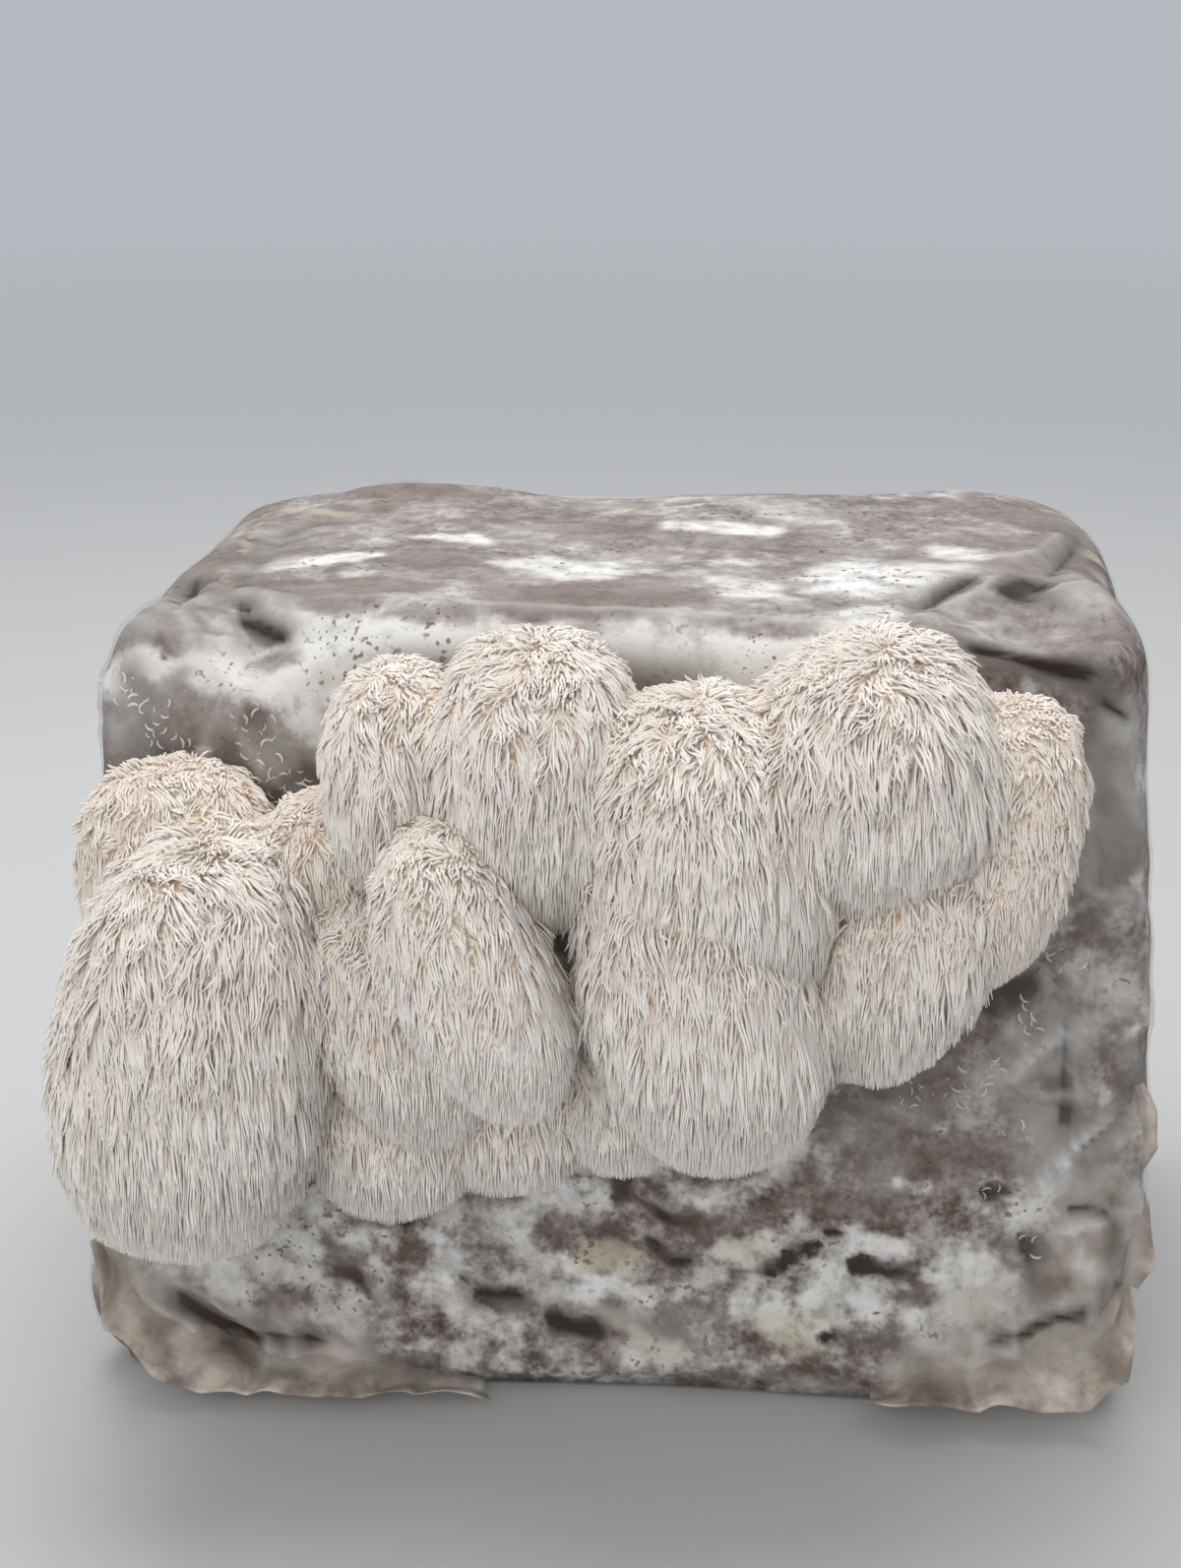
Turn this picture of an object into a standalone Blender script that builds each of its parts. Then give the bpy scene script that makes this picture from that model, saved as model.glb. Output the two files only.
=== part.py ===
"""A lion's mane mushroom fruiting from the front of a film-wrapped block of sawdust.

Metres, +Z up, the mushroom facing -Y.  The origin is the middle of the flat underside
that the wrapped block stands on.
"""

import math
from collections import namedtuple

import bmesh
import bpy
from mathutils import Matrix, Vector, noise
from mathutils.bvhtree import BVHTree

MM = 0.001

# The pressed sawdust block, as it stands inside its film
BLOCK_WIDTH = 211 * MM
BLOCK_DEPTH = 142 * MM
BLOCK_HEIGHT = 168 * MM
BLOCK_CELLS = (12, 7, 9)  # faces along the width, the depth and the height
SHOULDER_POWER = 12.0  # how round the upper edges are: less is rounder
FOOT_POWER = 22.0  # the edges round the foot are squarer
FOOT_SPREAD = 4 * MM  # the block has slumped wider at its foot
LUMP_HEIGHT = 2.2 * MM
LUMP_SPACING = 48 * MM
FLAT_SOLE = 2.5 * MM  # what hangs less than this above the sole is pressed flat

# The film round the block
CONTACT_GAP = 0.3 * MM
FILM = 0.7 * MM

# Where the wrapped block is pulled out or tucked in: a place on the unit box, its reach
# there, and how far it moves
TUCKS = (
    ((-0.70, -1.00, 0.98), 0.16, (0.000, 0.007, -0.004)),  # fold beside the left shoulder
    ((-0.97, -0.60, 0.80), 0.22, (0.004, 0.000, -0.003)),
    ((0.80, -0.75, 1.00), 0.17, (0.000, 0.002, -0.008)),  # dark fold on the right shoulder
    ((0.95, -1.00, 0.80), 0.20, (-0.003, 0.003, -0.002)),
    ((-0.98, -0.95, -0.78), 0.26, (-0.006, -0.003, 0.000)),  # ears of film at the foot
    ((0.98, -0.95, -0.80), 0.30, (-0.003, -0.002, 0.000)),
    ((1.00, 0.10, -0.70), 0.30, (0.005, 0.000, 0.000)),
    ((-0.45, 1.00, 1.00), 0.22, (0.000, 0.002, 0.004)),  # hump on the rear left edge
    ((0.70, 1.00, 1.00), 0.20, (0.000, 0.002, 0.003)),
)

# The slit in the film and the stem that comes out of it, from the low left end to the
# high right end
SLIT_ENDS = (Vector((-72 * MM, 88 * MM)), Vector((66 * MM, 126 * MM)))
SLIT_HALF_HEIGHT = 12 * MM
SLIT_SIDES = 20
STEM_CLEARANCE = 1.2 * MM  # between the stem and the film's cut edge
STEM_FRONT = -87 * MM
STEM_RINGS = 6
STEM_SIDES = 12

# The heads.  Each is an egg-shaped mass of hanging spines round a centre.
Head = namedtuple("Head", "centre half lean taper")
HEADS = {
    # centre and half sizes in mm; lean in degrees, top towards -X; taper narrows the top
    "left_front_head": Head((-79.5, -102, 91), (28.3, 33, 43.5), -10, 0.09),
    "left_rear_head": Head((-86, -81, 118.5), (21.5, 19, 24), 0, 0.00),
    "left_gap_head": Head((-56, -90, 125), (12, 17, 14), 0, 0.00),
    "left_middle_head": Head((-38, -96, 97), (18, 24, 28), 20, 0.00),
    "low_left_head": Head((-43, -88, 70), (19, 19, 19.5), 0, 0.00),
    "low_middle_head": Head((-19, -88, 73.5), (16.5, 18, 17), 0, 0.00),
    "upper_left_head": Head((-41, -90, 142), (14.5, 24, 23), 0, 0.00),
    "upper_middle_head": Head((-13, -97, 145), (21, 30, 28), 0, 0.00),
    "front_middle_head": Head((-22, -120, 113.5), (14.8, 21, 29.5), 25, 0.00),
    "centre_upper_head": Head((20.5, -105, 134), (23, 31, 31), 17, 0.12),
    "centre_lower_head": Head((19.3, -103, 107), (23.5, 35, 36), 17, 0.05),
    "low_centre_head": Head((3, -90, 81), (14, 18, 19), 0, 0.00),
    "upper_gap_head": Head((28, -88, 148), (11, 15, 12), 0, 0.00),
    "upper_right_head": Head((50.5, -97, 148.5), (24.5, 34, 25), 24, 0.00),
    "right_rear_head": Head((73.5, -92, 132.5), (16, 23, 29), -12, 0.00),
    "lower_right_head": Head((55.5, -95, 114), (18.5, 27, 28), -24, 0.00),
}
ROUNDNESS = 2.3  # of every head: 2 would be an egg, more is squarer
SEAM = 0.045  # how far apart two heads stay where they meet, as a share of their size
STEM_SEAM = 0.14  # the same where a head meets the stem
BACK_CLEARANCE = 0.4 * MM  # between a head and the film behind it
BACK_REACH = 20 * MM  # how deep behind its front a head counts as a whole size away
TUFT_AREA = 44 * MM * MM  # one tuft of spines
FEWEST_TUFTS = 70
HIDDEN_SHARE = 0.62  # of a head's skin that is counted when its tufts are shared out
TUFT_DEPTH = 0.17  # how deep the skin dips between tufts, as a share of the radius
TUFT_DROOP = 4.0 * MM
DROOP_SHARES = (1.0, 0.7, 0.4, 0.2)  # of the droop, tried in turn where room is short
HEAD_LUMP = 0.05
LUMPS_ROUND = 1.7  # lumps in a head's radius
LUMP_SHIFT = 100  # lumps a metre that separate the patterns of two heads
RAY_STEP = 0.6 * MM
PRESS_TURNS = 12
PRESS_STEP = 0.03
BEHIND_MUSHROOM = 80 * MM  # half the width of film behind the mushroom
CUTTER_REACH = 15 * MM  # how far the slit's cutter stands out before and behind the face
SMOOTH_ANGLE, TUFT_ANGLE = 50, 25  # degrees between faces that are shaded as one
NO_LENGTH = 1e-9
ON_EDGE = 1e-4  # two corners of the box nearer than this lie on one level

FILM_COLOUR = (0.62, 0.60, 0.58)
SAWDUST_COLOUR = (0.36, 0.31, 0.28)
STEM_COLOUR = (0.83, 0.74, 0.62)
SPINE_COLOUR = (0.88, 0.82, 0.74)


def clear_scene():
    for thing in list(bpy.data.objects):
        bpy.data.objects.remove(thing, do_unlink=True)


def material(name, colour, roughness):
    made = bpy.data.materials.new(name)
    made.use_nodes = True
    shader = made.node_tree.nodes["Principled BSDF"]
    shader.inputs["Base Color"].default_value = (*colour, 1.0)
    shader.inputs["Roughness"].default_value = roughness
    shader.inputs["Metallic"].default_value = 0.0
    return made


def piece(name, bm, finish, smooth_angle=SMOOTH_ANGLE):
    """An object made from a bmesh whose faces point out, which is used up."""
    mesh = bpy.data.meshes.new(name)
    bm.to_mesh(mesh)
    bm.free()
    mesh.materials.append(finish)
    mesh.shade_smooth()
    mesh.set_sharp_from_angle(angle=math.radians(smooth_angle))
    made = bpy.data.objects.new(name, mesh)
    bpy.context.collection.objects.link(made)
    return made


def block_point(at):
    """Where a point on the skin of the box from -1 to 1 lies on the slumped block."""
    power = SHOULDER_POWER + (FOOT_POWER - SHOULDER_POWER) * (1 - at.z) / 2
    pull_in = sum(abs(a) ** power for a in at) ** (-1 / power)
    x, y, z = at * pull_in
    half_width = BLOCK_WIDTH / 2 + FOOT_SPREAD * (1 - z) / 2
    point = Vector((x * half_width, y * BLOCK_DEPTH / 2, (z + 1) * BLOCK_HEIGHT / 2))
    for place, reach, move in TUCKS:
        far = (at - Vector(place)).length / reach
        point += Vector(move) * math.exp(-far * far)
    lump = noise.noise(point / LUMP_SPACING) * LUMP_HEIGHT
    point += lump * Vector((x, y, max(z, 0.0)))
    if point.z < FLAT_SOLE:
        point.z = 0.0
    return point


def block_skin():
    """The block's surface, standing one film above the ground."""
    bm = bmesh.new()
    bmesh.ops.create_cube(bm, size=2.0)
    for axis, cells in enumerate(BLOCK_CELLS):
        along = [
            e for e in bm.edges if abs(e.verts[0].co[axis] - e.verts[1].co[axis]) > ON_EDGE
        ]
        bmesh.ops.subdivide_edges(bm, edges=along, cuts=cells - 1, use_grid_fill=True)
    for vert in bm.verts:
        vert.co = block_point(vert.co)
        vert.co.z += CONTACT_GAP + FILM
    bmesh.ops.triangulate(bm, faces=bm.faces)
    bm.normal_update()
    return bm


def grown(bm, distance):
    """Moves a mesh outwards along its normals."""
    moves = [(vert, vert.normal * distance) for vert in bm.verts]
    for vert, move in moves:
        vert.co += move
    return bm


def film_skin():
    """The film's outer and inner surfaces, with the inner one facing inwards."""
    outer = grown(block_skin(), CONTACT_GAP + FILM)
    inner = grown(block_skin(), CONTACT_GAP)
    bmesh.ops.reverse_faces(inner, faces=inner.faces)
    kept = bpy.data.meshes.new("film_inner")
    inner.to_mesh(kept)
    inner.free()
    outer.from_mesh(kept)
    bpy.data.meshes.remove(kept)
    return outer


def slit_outline(half_height, count):
    """Points (x, z) round a slot with round ends along the slit, anticlockwise."""
    low, high = SLIT_ENDS
    along = (high - low).normalized()
    across = Vector((-along.y, along.x))
    points = []
    for k in range(count):
        turn = 2 * math.pi * (k + 0.5) / count
        end = high if math.cos(turn) > 0 else low
        round_it = along * math.cos(turn) + across * math.sin(turn)
        points.append(end + round_it * half_height)
    return points


def slot_cutter():
    """A guide of the slit's outline that goes through the film's front."""
    bm = bmesh.new()
    outline = slit_outline(SLIT_HALF_HEIGHT, SLIT_SIDES)
    front, back = -BLOCK_DEPTH / 2 - CUTTER_REACH, -BLOCK_DEPTH / 2 + CUTTER_REACH
    ring = [bm.verts.new((x, front, z)) for x, z in outline]
    cap = bm.faces.new(ring)
    grown_part = bmesh.ops.extrude_face_region(bm, geom=[cap])
    for item in grown_part["geom"]:
        if isinstance(item, bmesh.types.BMVert):
            item.co.y = back
    bmesh.ops.recalc_face_normals(bm, faces=bm.faces)
    cutter = piece("slit_cutter", bm, bpy.data.materials["film"])
    cutter.hide_render = True
    cutter.display_type = "WIRE"
    return cutter


def front_of_block():
    """The block's foremost y, and the film's, over the stretch behind the mushroom."""
    bm = block_skin()
    nearest = min(v.co.y for v in bm.verts if abs(v.co.x) < BEHIND_MUSHROOM)
    bm.free()
    return nearest, nearest - CONTACT_GAP - FILM


def head_space(head):
    """A head's centre, and the turn from the world into its own upright space."""
    centre = Vector(head.centre) * MM
    upright = Matrix.Rotation(math.radians(head.lean), 3, "Y")
    return centre, upright


SPACES = {name: head_space(head) for name, head in HEADS.items()}


def share_of_radius(name, point):
    """0 at the head's centre, 1 on its skin, and more outside."""
    head = HEADS[name]
    centre, upright = SPACES[name]
    local = upright @ (point - centre)
    half = Vector(head.half) * MM
    z = local.z / half.z
    narrow = 1 - head.taper * max(-1.0, min(1.0, z))
    x = local.x / (half.x * narrow)
    y = local.y / half.y
    even = sum(abs(a) ** ROUNDNESS for a in (x, y, z)) ** (1 / ROUNDNESS)
    if even < NO_LENGTH:
        return 0.0
    lump = noise.noise(Vector((x, y, z)) / even * LUMPS_ROUND + centre * LUMP_SHIFT)
    return even / (1 + HEAD_LUMP * lump)


def stem_share(point):
    """Below 1 inside the stem, whose section is half an ellipse standing on the film."""
    low, high = SLIT_ENDS
    at = Vector((point.x, point.z))
    along = high - low
    t = max(0.0, min(1.0, (at - low).dot(along) / along.length_squared))
    across = (at - low - along * t).length / (SLIT_HALF_HEIGHT - STEM_CLEARANCE)
    depth = (point.y - FILM_FRONT) / (STEM_FRONT - FILM_FRONT)
    return math.hypot(across, max(depth, 0.0))


def room(name, point):
    """How much of its own size a head has left at a point: below 0 is not its own."""
    own = share_of_radius(name, point)
    others = min(share_of_radius(n, point) for n in HEADS if n != name)
    behind = (FILM_FRONT - BACK_CLEARANCE - point.y) / BACK_REACH
    return min(others - own - SEAM, behind, stem_share(point) - 1 - STEM_SEAM)


def ray_to(name, direction, share):
    """How far a head reaches along a direction, and whether nothing stands in its way."""
    centre, _ = SPACES[name]
    far = 0.0
    while room(name, centre + direction * (far + RAY_STEP)) > 0:
        far += RAY_STEP
        if share_of_radius(name, centre + direction * far) > share:
            return far, True
    return far, False


def sphere_points(count):
    """Evenly spread directions."""
    golden = math.pi * (3 - math.sqrt(5))
    for k in range(count):
        z = 1 - (2 * k + 1) / count
        r = math.sqrt(1 - z * z)
        yield Vector((r * math.cos(golden * k), r * math.sin(golden * k), z))


def head_tufts(head):
    a, b, c = (h * MM for h in head.half)
    skin = 4 * math.pi * (a * b * c) ** (2 / 3)
    return max(FEWEST_TUFTS, round(skin * HIDDEN_SHARE / TUFT_AREA))


def drooped(name, point, direction):
    """A tuft's tip, let down as far as the head's own room allows."""
    hang = TUFT_DROOP * math.sqrt(max(0.0, 1 - direction.z * direction.z))
    for part in DROOP_SHARES:
        tip = point - Vector((0, 0, hang * part))
        if room(name, tip) > 0:
            return tip
    return point


def head_mesh(name):
    """A head as a skin of drooping tufts where it is free, and plain where it is held."""
    centre, _ = SPACES[name]
    bm = bmesh.new()
    for direction in sphere_points(head_tufts(HEADS[name])):
        bm.verts.new(direction)
    bmesh.ops.convex_hull(bm, input=bm.verts)
    directions = {vert: vert.co.normalized() for vert in bm.verts}
    free = {}
    for vert, direction in directions.items():
        far, free[vert] = ray_to(name, direction, 1.0)
        vert.co = centre + direction * far
    tufted = [f for f in bm.faces if all(free[v] for v in f.verts)]
    ridges = [e for e in bm.edges if all(f in tufted for f in e.link_faces)]
    middles = [sum((directions[v] for v in f.verts), Vector()) for f in tufted]
    for vert, direction in directions.items():
        if free[vert]:
            vert.co = drooped(name, vert.co, direction)
    for face, middle in zip(tufted, middles):
        direction = middle.normalized()
        far, _ = ray_to(name, direction, 1.0 - TUFT_DEPTH)
        poked = bmesh.ops.poke(bm, faces=[face])
        poked["verts"][0].co = centre + direction * far
    bmesh.ops.rotate_edges(bm, edges=ridges)
    bmesh.ops.recalc_face_normals(bm, faces=bm.faces)
    return bm


def press_back(meshes, fixed):
    """Draws in the skin of heads that still cut each other or the stem, a little a turn."""
    for _ in range(PRESS_TURNS):
        trees = {name: BVHTree.FromBMesh(bm) for name, bm in meshes.items()}
        held = BVHTree.FromBMesh(fixed)
        touching = {name: set() for name in meshes}
        for name, tree in trees.items():
            touching[name] |= {mine for mine, _ in tree.overlap(held)}
            for other, other_tree in trees.items():
                if other != name:
                    touching[name] |= {mine for mine, _ in tree.overlap(other_tree)}
        if not any(touching.values()):
            return
        for name, bm in meshes.items():
            centre, _ = SPACES[name]
            bm.faces.ensure_lookup_table()
            for vert in {v for k in touching[name] for v in bm.faces[k].verts}:
                vert.co = vert.co.lerp(centre, PRESS_STEP)


def stem_mesh():
    """The shared base of the heads, from the block's face out through the slit."""
    bm = bmesh.new()
    outline = slit_outline(SLIT_HALF_HEIGHT - STEM_CLEARANCE, STEM_SIDES)
    low, high = SLIT_ENDS
    along = high - low
    root = BLOCK_FRONT - CONTACT_GAP
    rings = []
    for k in range(STEM_RINGS):
        turn = math.pi / 2 * k / STEM_RINGS
        y = FILM_FRONT + (STEM_FRONT - FILM_FRONT) * math.sin(turn)
        ring = []
        for point in outline:
            t = (point - low).dot(along) / along.length_squared
            core = low + along * max(0.0, min(1.0, t))
            x, z = core + (point - core) * math.cos(turn)
            ring.append(bm.verts.new((x, y, z)))
        rings.append(ring)
    foot = [bm.verts.new((v.co.x, root, v.co.z)) for v in rings[0]]
    rings.insert(0, foot)
    for near, far in zip(rings, rings[1:]):
        for k in range(len(near)):
            n = (k + 1) % len(near)
            bm.faces.new((near[k], near[n], far[n], far[k]))
    bm.faces.new(list(reversed(rings[0])))
    bm.faces.new(rings[-1])
    bmesh.ops.recalc_face_normals(bm, faces=bm.faces)
    return bm


clear_scene()
film = material("film", FILM_COLOUR, 0.25)
sawdust = material("sawdust", SAWDUST_COLOUR, 0.8)
stem_flesh = material("stem_flesh", STEM_COLOUR, 0.6)
spines = material("spines", SPINE_COLOUR, 0.7)

BLOCK_FRONT, FILM_FRONT = front_of_block()
piece("substrate_block", block_skin(), sawdust)
bag = piece("grow_bag", film_skin(), film)
slit = bag.modifiers.new("slit", "BOOLEAN")
slit.operation = "DIFFERENCE"
slit.object = slot_cutter()
stem = stem_mesh()
heads = {name: head_mesh(name) for name in HEADS}
press_back(heads, stem)
piece("stem", stem, stem_flesh)
for head_name, head_skin in heads.items():
    piece(head_name, head_skin, spines, smooth_angle=TUFT_ANGLE)
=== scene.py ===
import math

import bmesh
import bpy
import numpy as np
from mathutils import Matrix, Vector, noise
from mathutils.bvhtree import BVHTree


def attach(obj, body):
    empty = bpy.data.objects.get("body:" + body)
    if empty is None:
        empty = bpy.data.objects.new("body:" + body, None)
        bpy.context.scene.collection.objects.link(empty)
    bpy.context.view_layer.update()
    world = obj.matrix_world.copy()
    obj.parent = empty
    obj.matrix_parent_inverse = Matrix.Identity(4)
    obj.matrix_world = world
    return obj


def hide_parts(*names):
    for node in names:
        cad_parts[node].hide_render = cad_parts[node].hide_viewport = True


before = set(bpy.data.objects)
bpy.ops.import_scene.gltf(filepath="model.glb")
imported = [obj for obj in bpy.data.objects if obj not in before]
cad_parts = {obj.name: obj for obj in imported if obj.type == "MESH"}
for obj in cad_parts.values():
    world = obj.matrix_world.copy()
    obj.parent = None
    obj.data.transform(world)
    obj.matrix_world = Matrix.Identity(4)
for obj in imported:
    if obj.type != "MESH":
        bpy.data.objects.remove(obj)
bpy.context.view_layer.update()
MM = 0.001

# The view.  A long lens half a metre in front of the mushroom looks down on it by
# seventeen degrees.  Pixels are those of the photograph, 1200 by 1593.
PHOTO_WIDTH, PHOTO_HEIGHT = 1200, 1593
FOCAL_PIXELS = 2800
SENSOR_WIDTH = 36.0
EYE = Vector((0.038, -0.591, 0.297))
YAW, PITCH, ROLL = (math.radians(angle) for angle in (-4.74, 17.16, -0.05))

ahead = Vector((math.sin(YAW) * math.cos(PITCH), math.cos(YAW) * math.cos(PITCH), -math.sin(PITCH)))
level = Vector((math.cos(YAW), -math.sin(YAW), 0.0))
upward = level.cross(ahead)
right = math.cos(ROLL) * level + math.sin(ROLL) * upward
upward = math.cos(ROLL) * upward - math.sin(ROLL) * level

camera_data = bpy.data.cameras.new("camera")
camera_data.sensor_fit = "HORIZONTAL"
camera_data.sensor_width = SENSOR_WIDTH
camera_data.lens = FOCAL_PIXELS / PHOTO_WIDTH * SENSOR_WIDTH
camera_data.clip_start = 0.01
camera = bpy.data.objects.new("camera", camera_data)
camera.matrix_world = Matrix.Translation(EYE) @ Matrix((right, upward, -ahead)).transposed().to_4x4()
bpy.context.collection.objects.link(camera)
bpy.context.scene.camera = camera


def sight(pixel):
    """The direction from the eye through a pixel of the photograph."""
    across = (pixel[0] - PHOTO_WIDTH / 2) / FOCAL_PIXELS
    down = (pixel[1] - PHOTO_HEIGHT / 2) / FOCAL_PIXELS
    return (ahead + right * across - upward * down).normalized()


class Wire:
    """A socket that gives a value.  Python's operators on it add Math nodes."""

    def __init__(self, tree, socket):
        self.tree = tree
        self.socket = socket

    def __getitem__(self, name):
        return Wire(self.tree, self.socket.node.outputs[name])

    def maths(self, operation, *values):
        wires = [v for v in values if isinstance(v, Wire)]
        many = any(w.socket.type in ("VECTOR", "RGBA") for w in wires)
        kind = "ShaderNodeVectorMath" if many else "ShaderNodeMath"
        return self.tree.node(kind, {"operation": operation}, values)

    def __add__(self, other):
        return self.maths("ADD", self, other)

    def __radd__(self, other):
        return self.maths("ADD", other, self)

    def __sub__(self, other):
        return self.maths("SUBTRACT", self, other)

    def __rsub__(self, other):
        return self.maths("SUBTRACT", other, self)

    def __mul__(self, other):
        return self.maths("MULTIPLY", self, other)

    def __rmul__(self, other):
        return self.maths("MULTIPLY", other, self)

    def __pow__(self, other):
        return self.maths("POWER", self, other)


class Tree:
    """The nodes of a material or of Geometry Nodes."""

    def __init__(self, inner):
        self.inner = inner

    def node(self, kind, settings=None, values=()):
        """Adds a node, its settings first and then the values or wires of its sockets."""
        made = self.inner.nodes.new(kind)
        for name, value in (settings or {}).items():
            setattr(made, name, value)
        if not isinstance(values, dict):
            values = dict(enumerate(values))
        shown = [socket for socket in made.inputs if socket.enabled]
        for place, value in values.items():
            self.feed(shown[place] if isinstance(place, int) else made.inputs[place], value)
        given = [socket for socket in made.outputs if socket.enabled]
        return Wire(self, given[0]) if given else made

    def feed(self, socket, value):
        if isinstance(value, Wire):
            self.inner.links.new(value.socket, socket)
        elif socket.type == "VECTOR" and isinstance(value, (int, float)):
            socket.default_value = (value, value, value)
        elif socket.type == "RGBA" and len(value) == 3:
            socket.default_value = (*value, 1.0)
        else:
            socket.default_value = value

    def noise(self, where, scale, detail=3.0, roughness=0.55):
        sockets = {"Vector": where, "Scale": scale, "Detail": detail, "Roughness": roughness}
        return self.node("ShaderNodeTexNoise", None, sockets)

    def rise(self, value, low, high):
        """0 below low, 1 above high and smooth between them."""
        smooth = {"interpolation_type": "SMOOTHSTEP"}
        return self.node("ShaderNodeMapRange", smooth, (value, low, high, 0.0, 1.0))

    def mix(self, share, first, second):
        """The first colour where share is 0, the second where it is 1."""
        return self.node("ShaderNodeMix", {"data_type": "RGBA"}, (share, first, second))

    def painted(self, name):
        """A number that is painted on the mesh's points."""
        return self.node("ShaderNodeAttribute", {"attribute_name": name})["Fac"]


def finish(name, constants):
    """A new Principled material, its tree and its shader, with the constant sockets set."""
    made = bpy.data.materials.new(name)
    made.use_nodes = True
    shader = made.node_tree.nodes["Principled BSDF"]
    tree = Tree(made.node_tree)
    for socket, value in constants.items():
        tree.feed(shader.inputs[socket], value)
    return made, tree, shader


FLOOR_HALF_SIDE = 20.0
NEAR_FLOOR = (0.60, 0.60, 0.595)
FAR_FLOOR = (0.90, 0.92, 0.95)
FLOOR_PALES = (0.2, 2.7)  # from and to what distance in metres
floor_material, tree, shader = finish("pale_floor", {"Roughness": 0.7, "Specular IOR Level": 0.2})
where = tree.node("ShaderNodeTexCoord")["Object"]
distance = tree.node("ShaderNodeVectorMath", {"operation": "LENGTH"}, (where,))["Value"]
tree.feed(shader.inputs["Base Color"], tree.mix(tree.rise(distance, *FLOOR_PALES), NEAR_FLOOR, FAR_FLOOR))
floor_mesh = bpy.data.meshes.new("floor")
corners = [(x * FLOOR_HALF_SIDE, y * FLOOR_HALF_SIDE, 0) for x, y in ((-1, -1), (1, -1), (1, 1), (-1, 1))]
floor_mesh.from_pydata(corners, [], [(0, 1, 2, 3)])
floor_mesh.materials.append(floor_material)
floor = bpy.data.objects.new("floor", floor_mesh)
bpy.context.collection.objects.link(floor)

# Soft studio light: a wide lamp overhead, a little behind the block, so that its own
# shadow falls forward on the floor, and an even pale light from all round.
LAMPS = {
    # place and side in metres, watts
    "overhead_lamp": ((-0.05, 0.17, 0.95), 0.75, 6.1),
    "front_lamp": ((-0.25, -1.05, 0.45), 0.8, 4.0),
}
LAMP_TARGET = Vector((0.0, -0.05, 0.08))
SKY_COLOUR, SKY_STRENGTH = (0.93, 0.96, 1.0, 1.0), 0.55
for name, (place, side, watts) in LAMPS.items():
    lamp_data = bpy.data.lights.new(name, "AREA")
    lamp_data.size = side
    lamp_data.energy = watts
    lamp = bpy.data.objects.new(name, lamp_data)
    aim = LAMP_TARGET - Vector(place)
    lamp.matrix_world = Matrix.Translation(place) @ aim.to_track_quat("-Z", "Y").to_matrix().to_4x4()
    bpy.context.collection.objects.link(lamp)

world = bpy.data.worlds.new("studio")
world.use_nodes = True
world.node_tree.nodes["Background"].inputs["Color"].default_value = SKY_COLOUR
world.node_tree.nodes["Background"].inputs["Strength"].default_value = SKY_STRENGTH
bpy.context.scene.world = world
bpy.context.scene.view_settings.view_transform = "Standard"

# The grow block.  Pressed wet sawdust, 211 by 142 by 168 mm, slumped a little at its
# foot and knit together by the fungus, which shows as white felt between bare, dark
# and wet patches.
BLOCK_WIDTH, BLOCK_DEPTH, BLOCK_HEIGHT = 211 * MM, 142 * MM, 168 * MM
BLOCK_CELLS = (124, 84, 98)
SHOULDER_POWER, FOOT_POWER = 12.0, 22.0
FOOT_SPREAD = 4 * MM
LUMP_HEIGHT, LUMP_SPACING = 2.2 * MM, 48 * MM
FLAT_SOLE = 2.5 * MM
FILM_GAP, FILM_REACH = 0.3 * MM, 1.0 * MM
WANDER_SEEDS = (11.3, 24.7, 38.1)
TUCKS = (
    # where on the box from -1 to 1, how far round it, and how far it is moved in metres
    ((-0.70, -1.00, 0.98), 0.16, (0.000, 0.007, -0.004)),
    ((-0.97, -0.60, 0.80), 0.22, (0.004, 0.000, -0.003)),
    ((0.80, -0.75, 1.00), 0.17, (0.000, 0.002, -0.008)),
    ((0.95, -1.00, 0.80), 0.20, (-0.003, 0.003, -0.002)),
    ((-0.98, -0.95, -0.78), 0.26, (-0.006, -0.003, 0.000)),
    ((0.98, -0.95, -0.80), 0.30, (-0.003, -0.002, 0.000)),
    ((1.00, 0.10, -0.70), 0.30, (0.005, 0.000, 0.000)),
    ((-0.45, 1.00, 1.00), 0.22, (0.000, 0.002, 0.004)),
    ((0.70, 1.00, 1.00), 0.20, (0.000, 0.002, 0.003)),
)


def block_point(at):
    """Where a point on the skin of the box from -1 to 1 lies on the slumped block."""
    power = SHOULDER_POWER + (FOOT_POWER - SHOULDER_POWER) * (1 - at.z) / 2
    pull_in = sum(abs(a) ** power for a in at) ** (-1 / power)
    x, y, z = at * pull_in
    half_width = BLOCK_WIDTH / 2 + FOOT_SPREAD * (1 - z) / 2
    point = Vector((x * half_width, y * BLOCK_DEPTH / 2, (z + 1) * BLOCK_HEIGHT / 2))
    for place, reach, move in TUCKS:
        far = (at - Vector(place)).length / reach
        point += Vector(move) * math.exp(-far * far)
    lump = noise.noise(point / LUMP_SPACING) * LUMP_HEIGHT
    point += lump * Vector((x, y, max(z, 0.0)))
    if point.z < FLAT_SOLE:
        point.z = 0.0
    point.z += FILM_REACH
    return point


def block_lattice():
    """The block's skin as an even lattice of points."""
    bm = bmesh.new()
    bmesh.ops.create_cube(bm, size=2.0)
    for axis, cells in enumerate(BLOCK_CELLS):
        along = [e for e in bm.edges if abs(e.verts[0].co[axis] - e.verts[1].co[axis]) > 1e-4]
        bmesh.ops.subdivide_edges(bm, edges=along, cuts=cells - 1, use_grid_fill=True)
    for vert in bm.verts:
        vert.co = block_point(vert.co)
    bm.normal_update()
    mesh = bpy.data.meshes.new("lattice")
    bm.to_mesh(mesh)
    bm.free()
    return mesh


def points_of(mesh):
    flat = np.zeros(len(mesh.vertices) * 3)
    mesh.vertices.foreach_get("co", flat)
    return flat.reshape(-1, 3)


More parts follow.
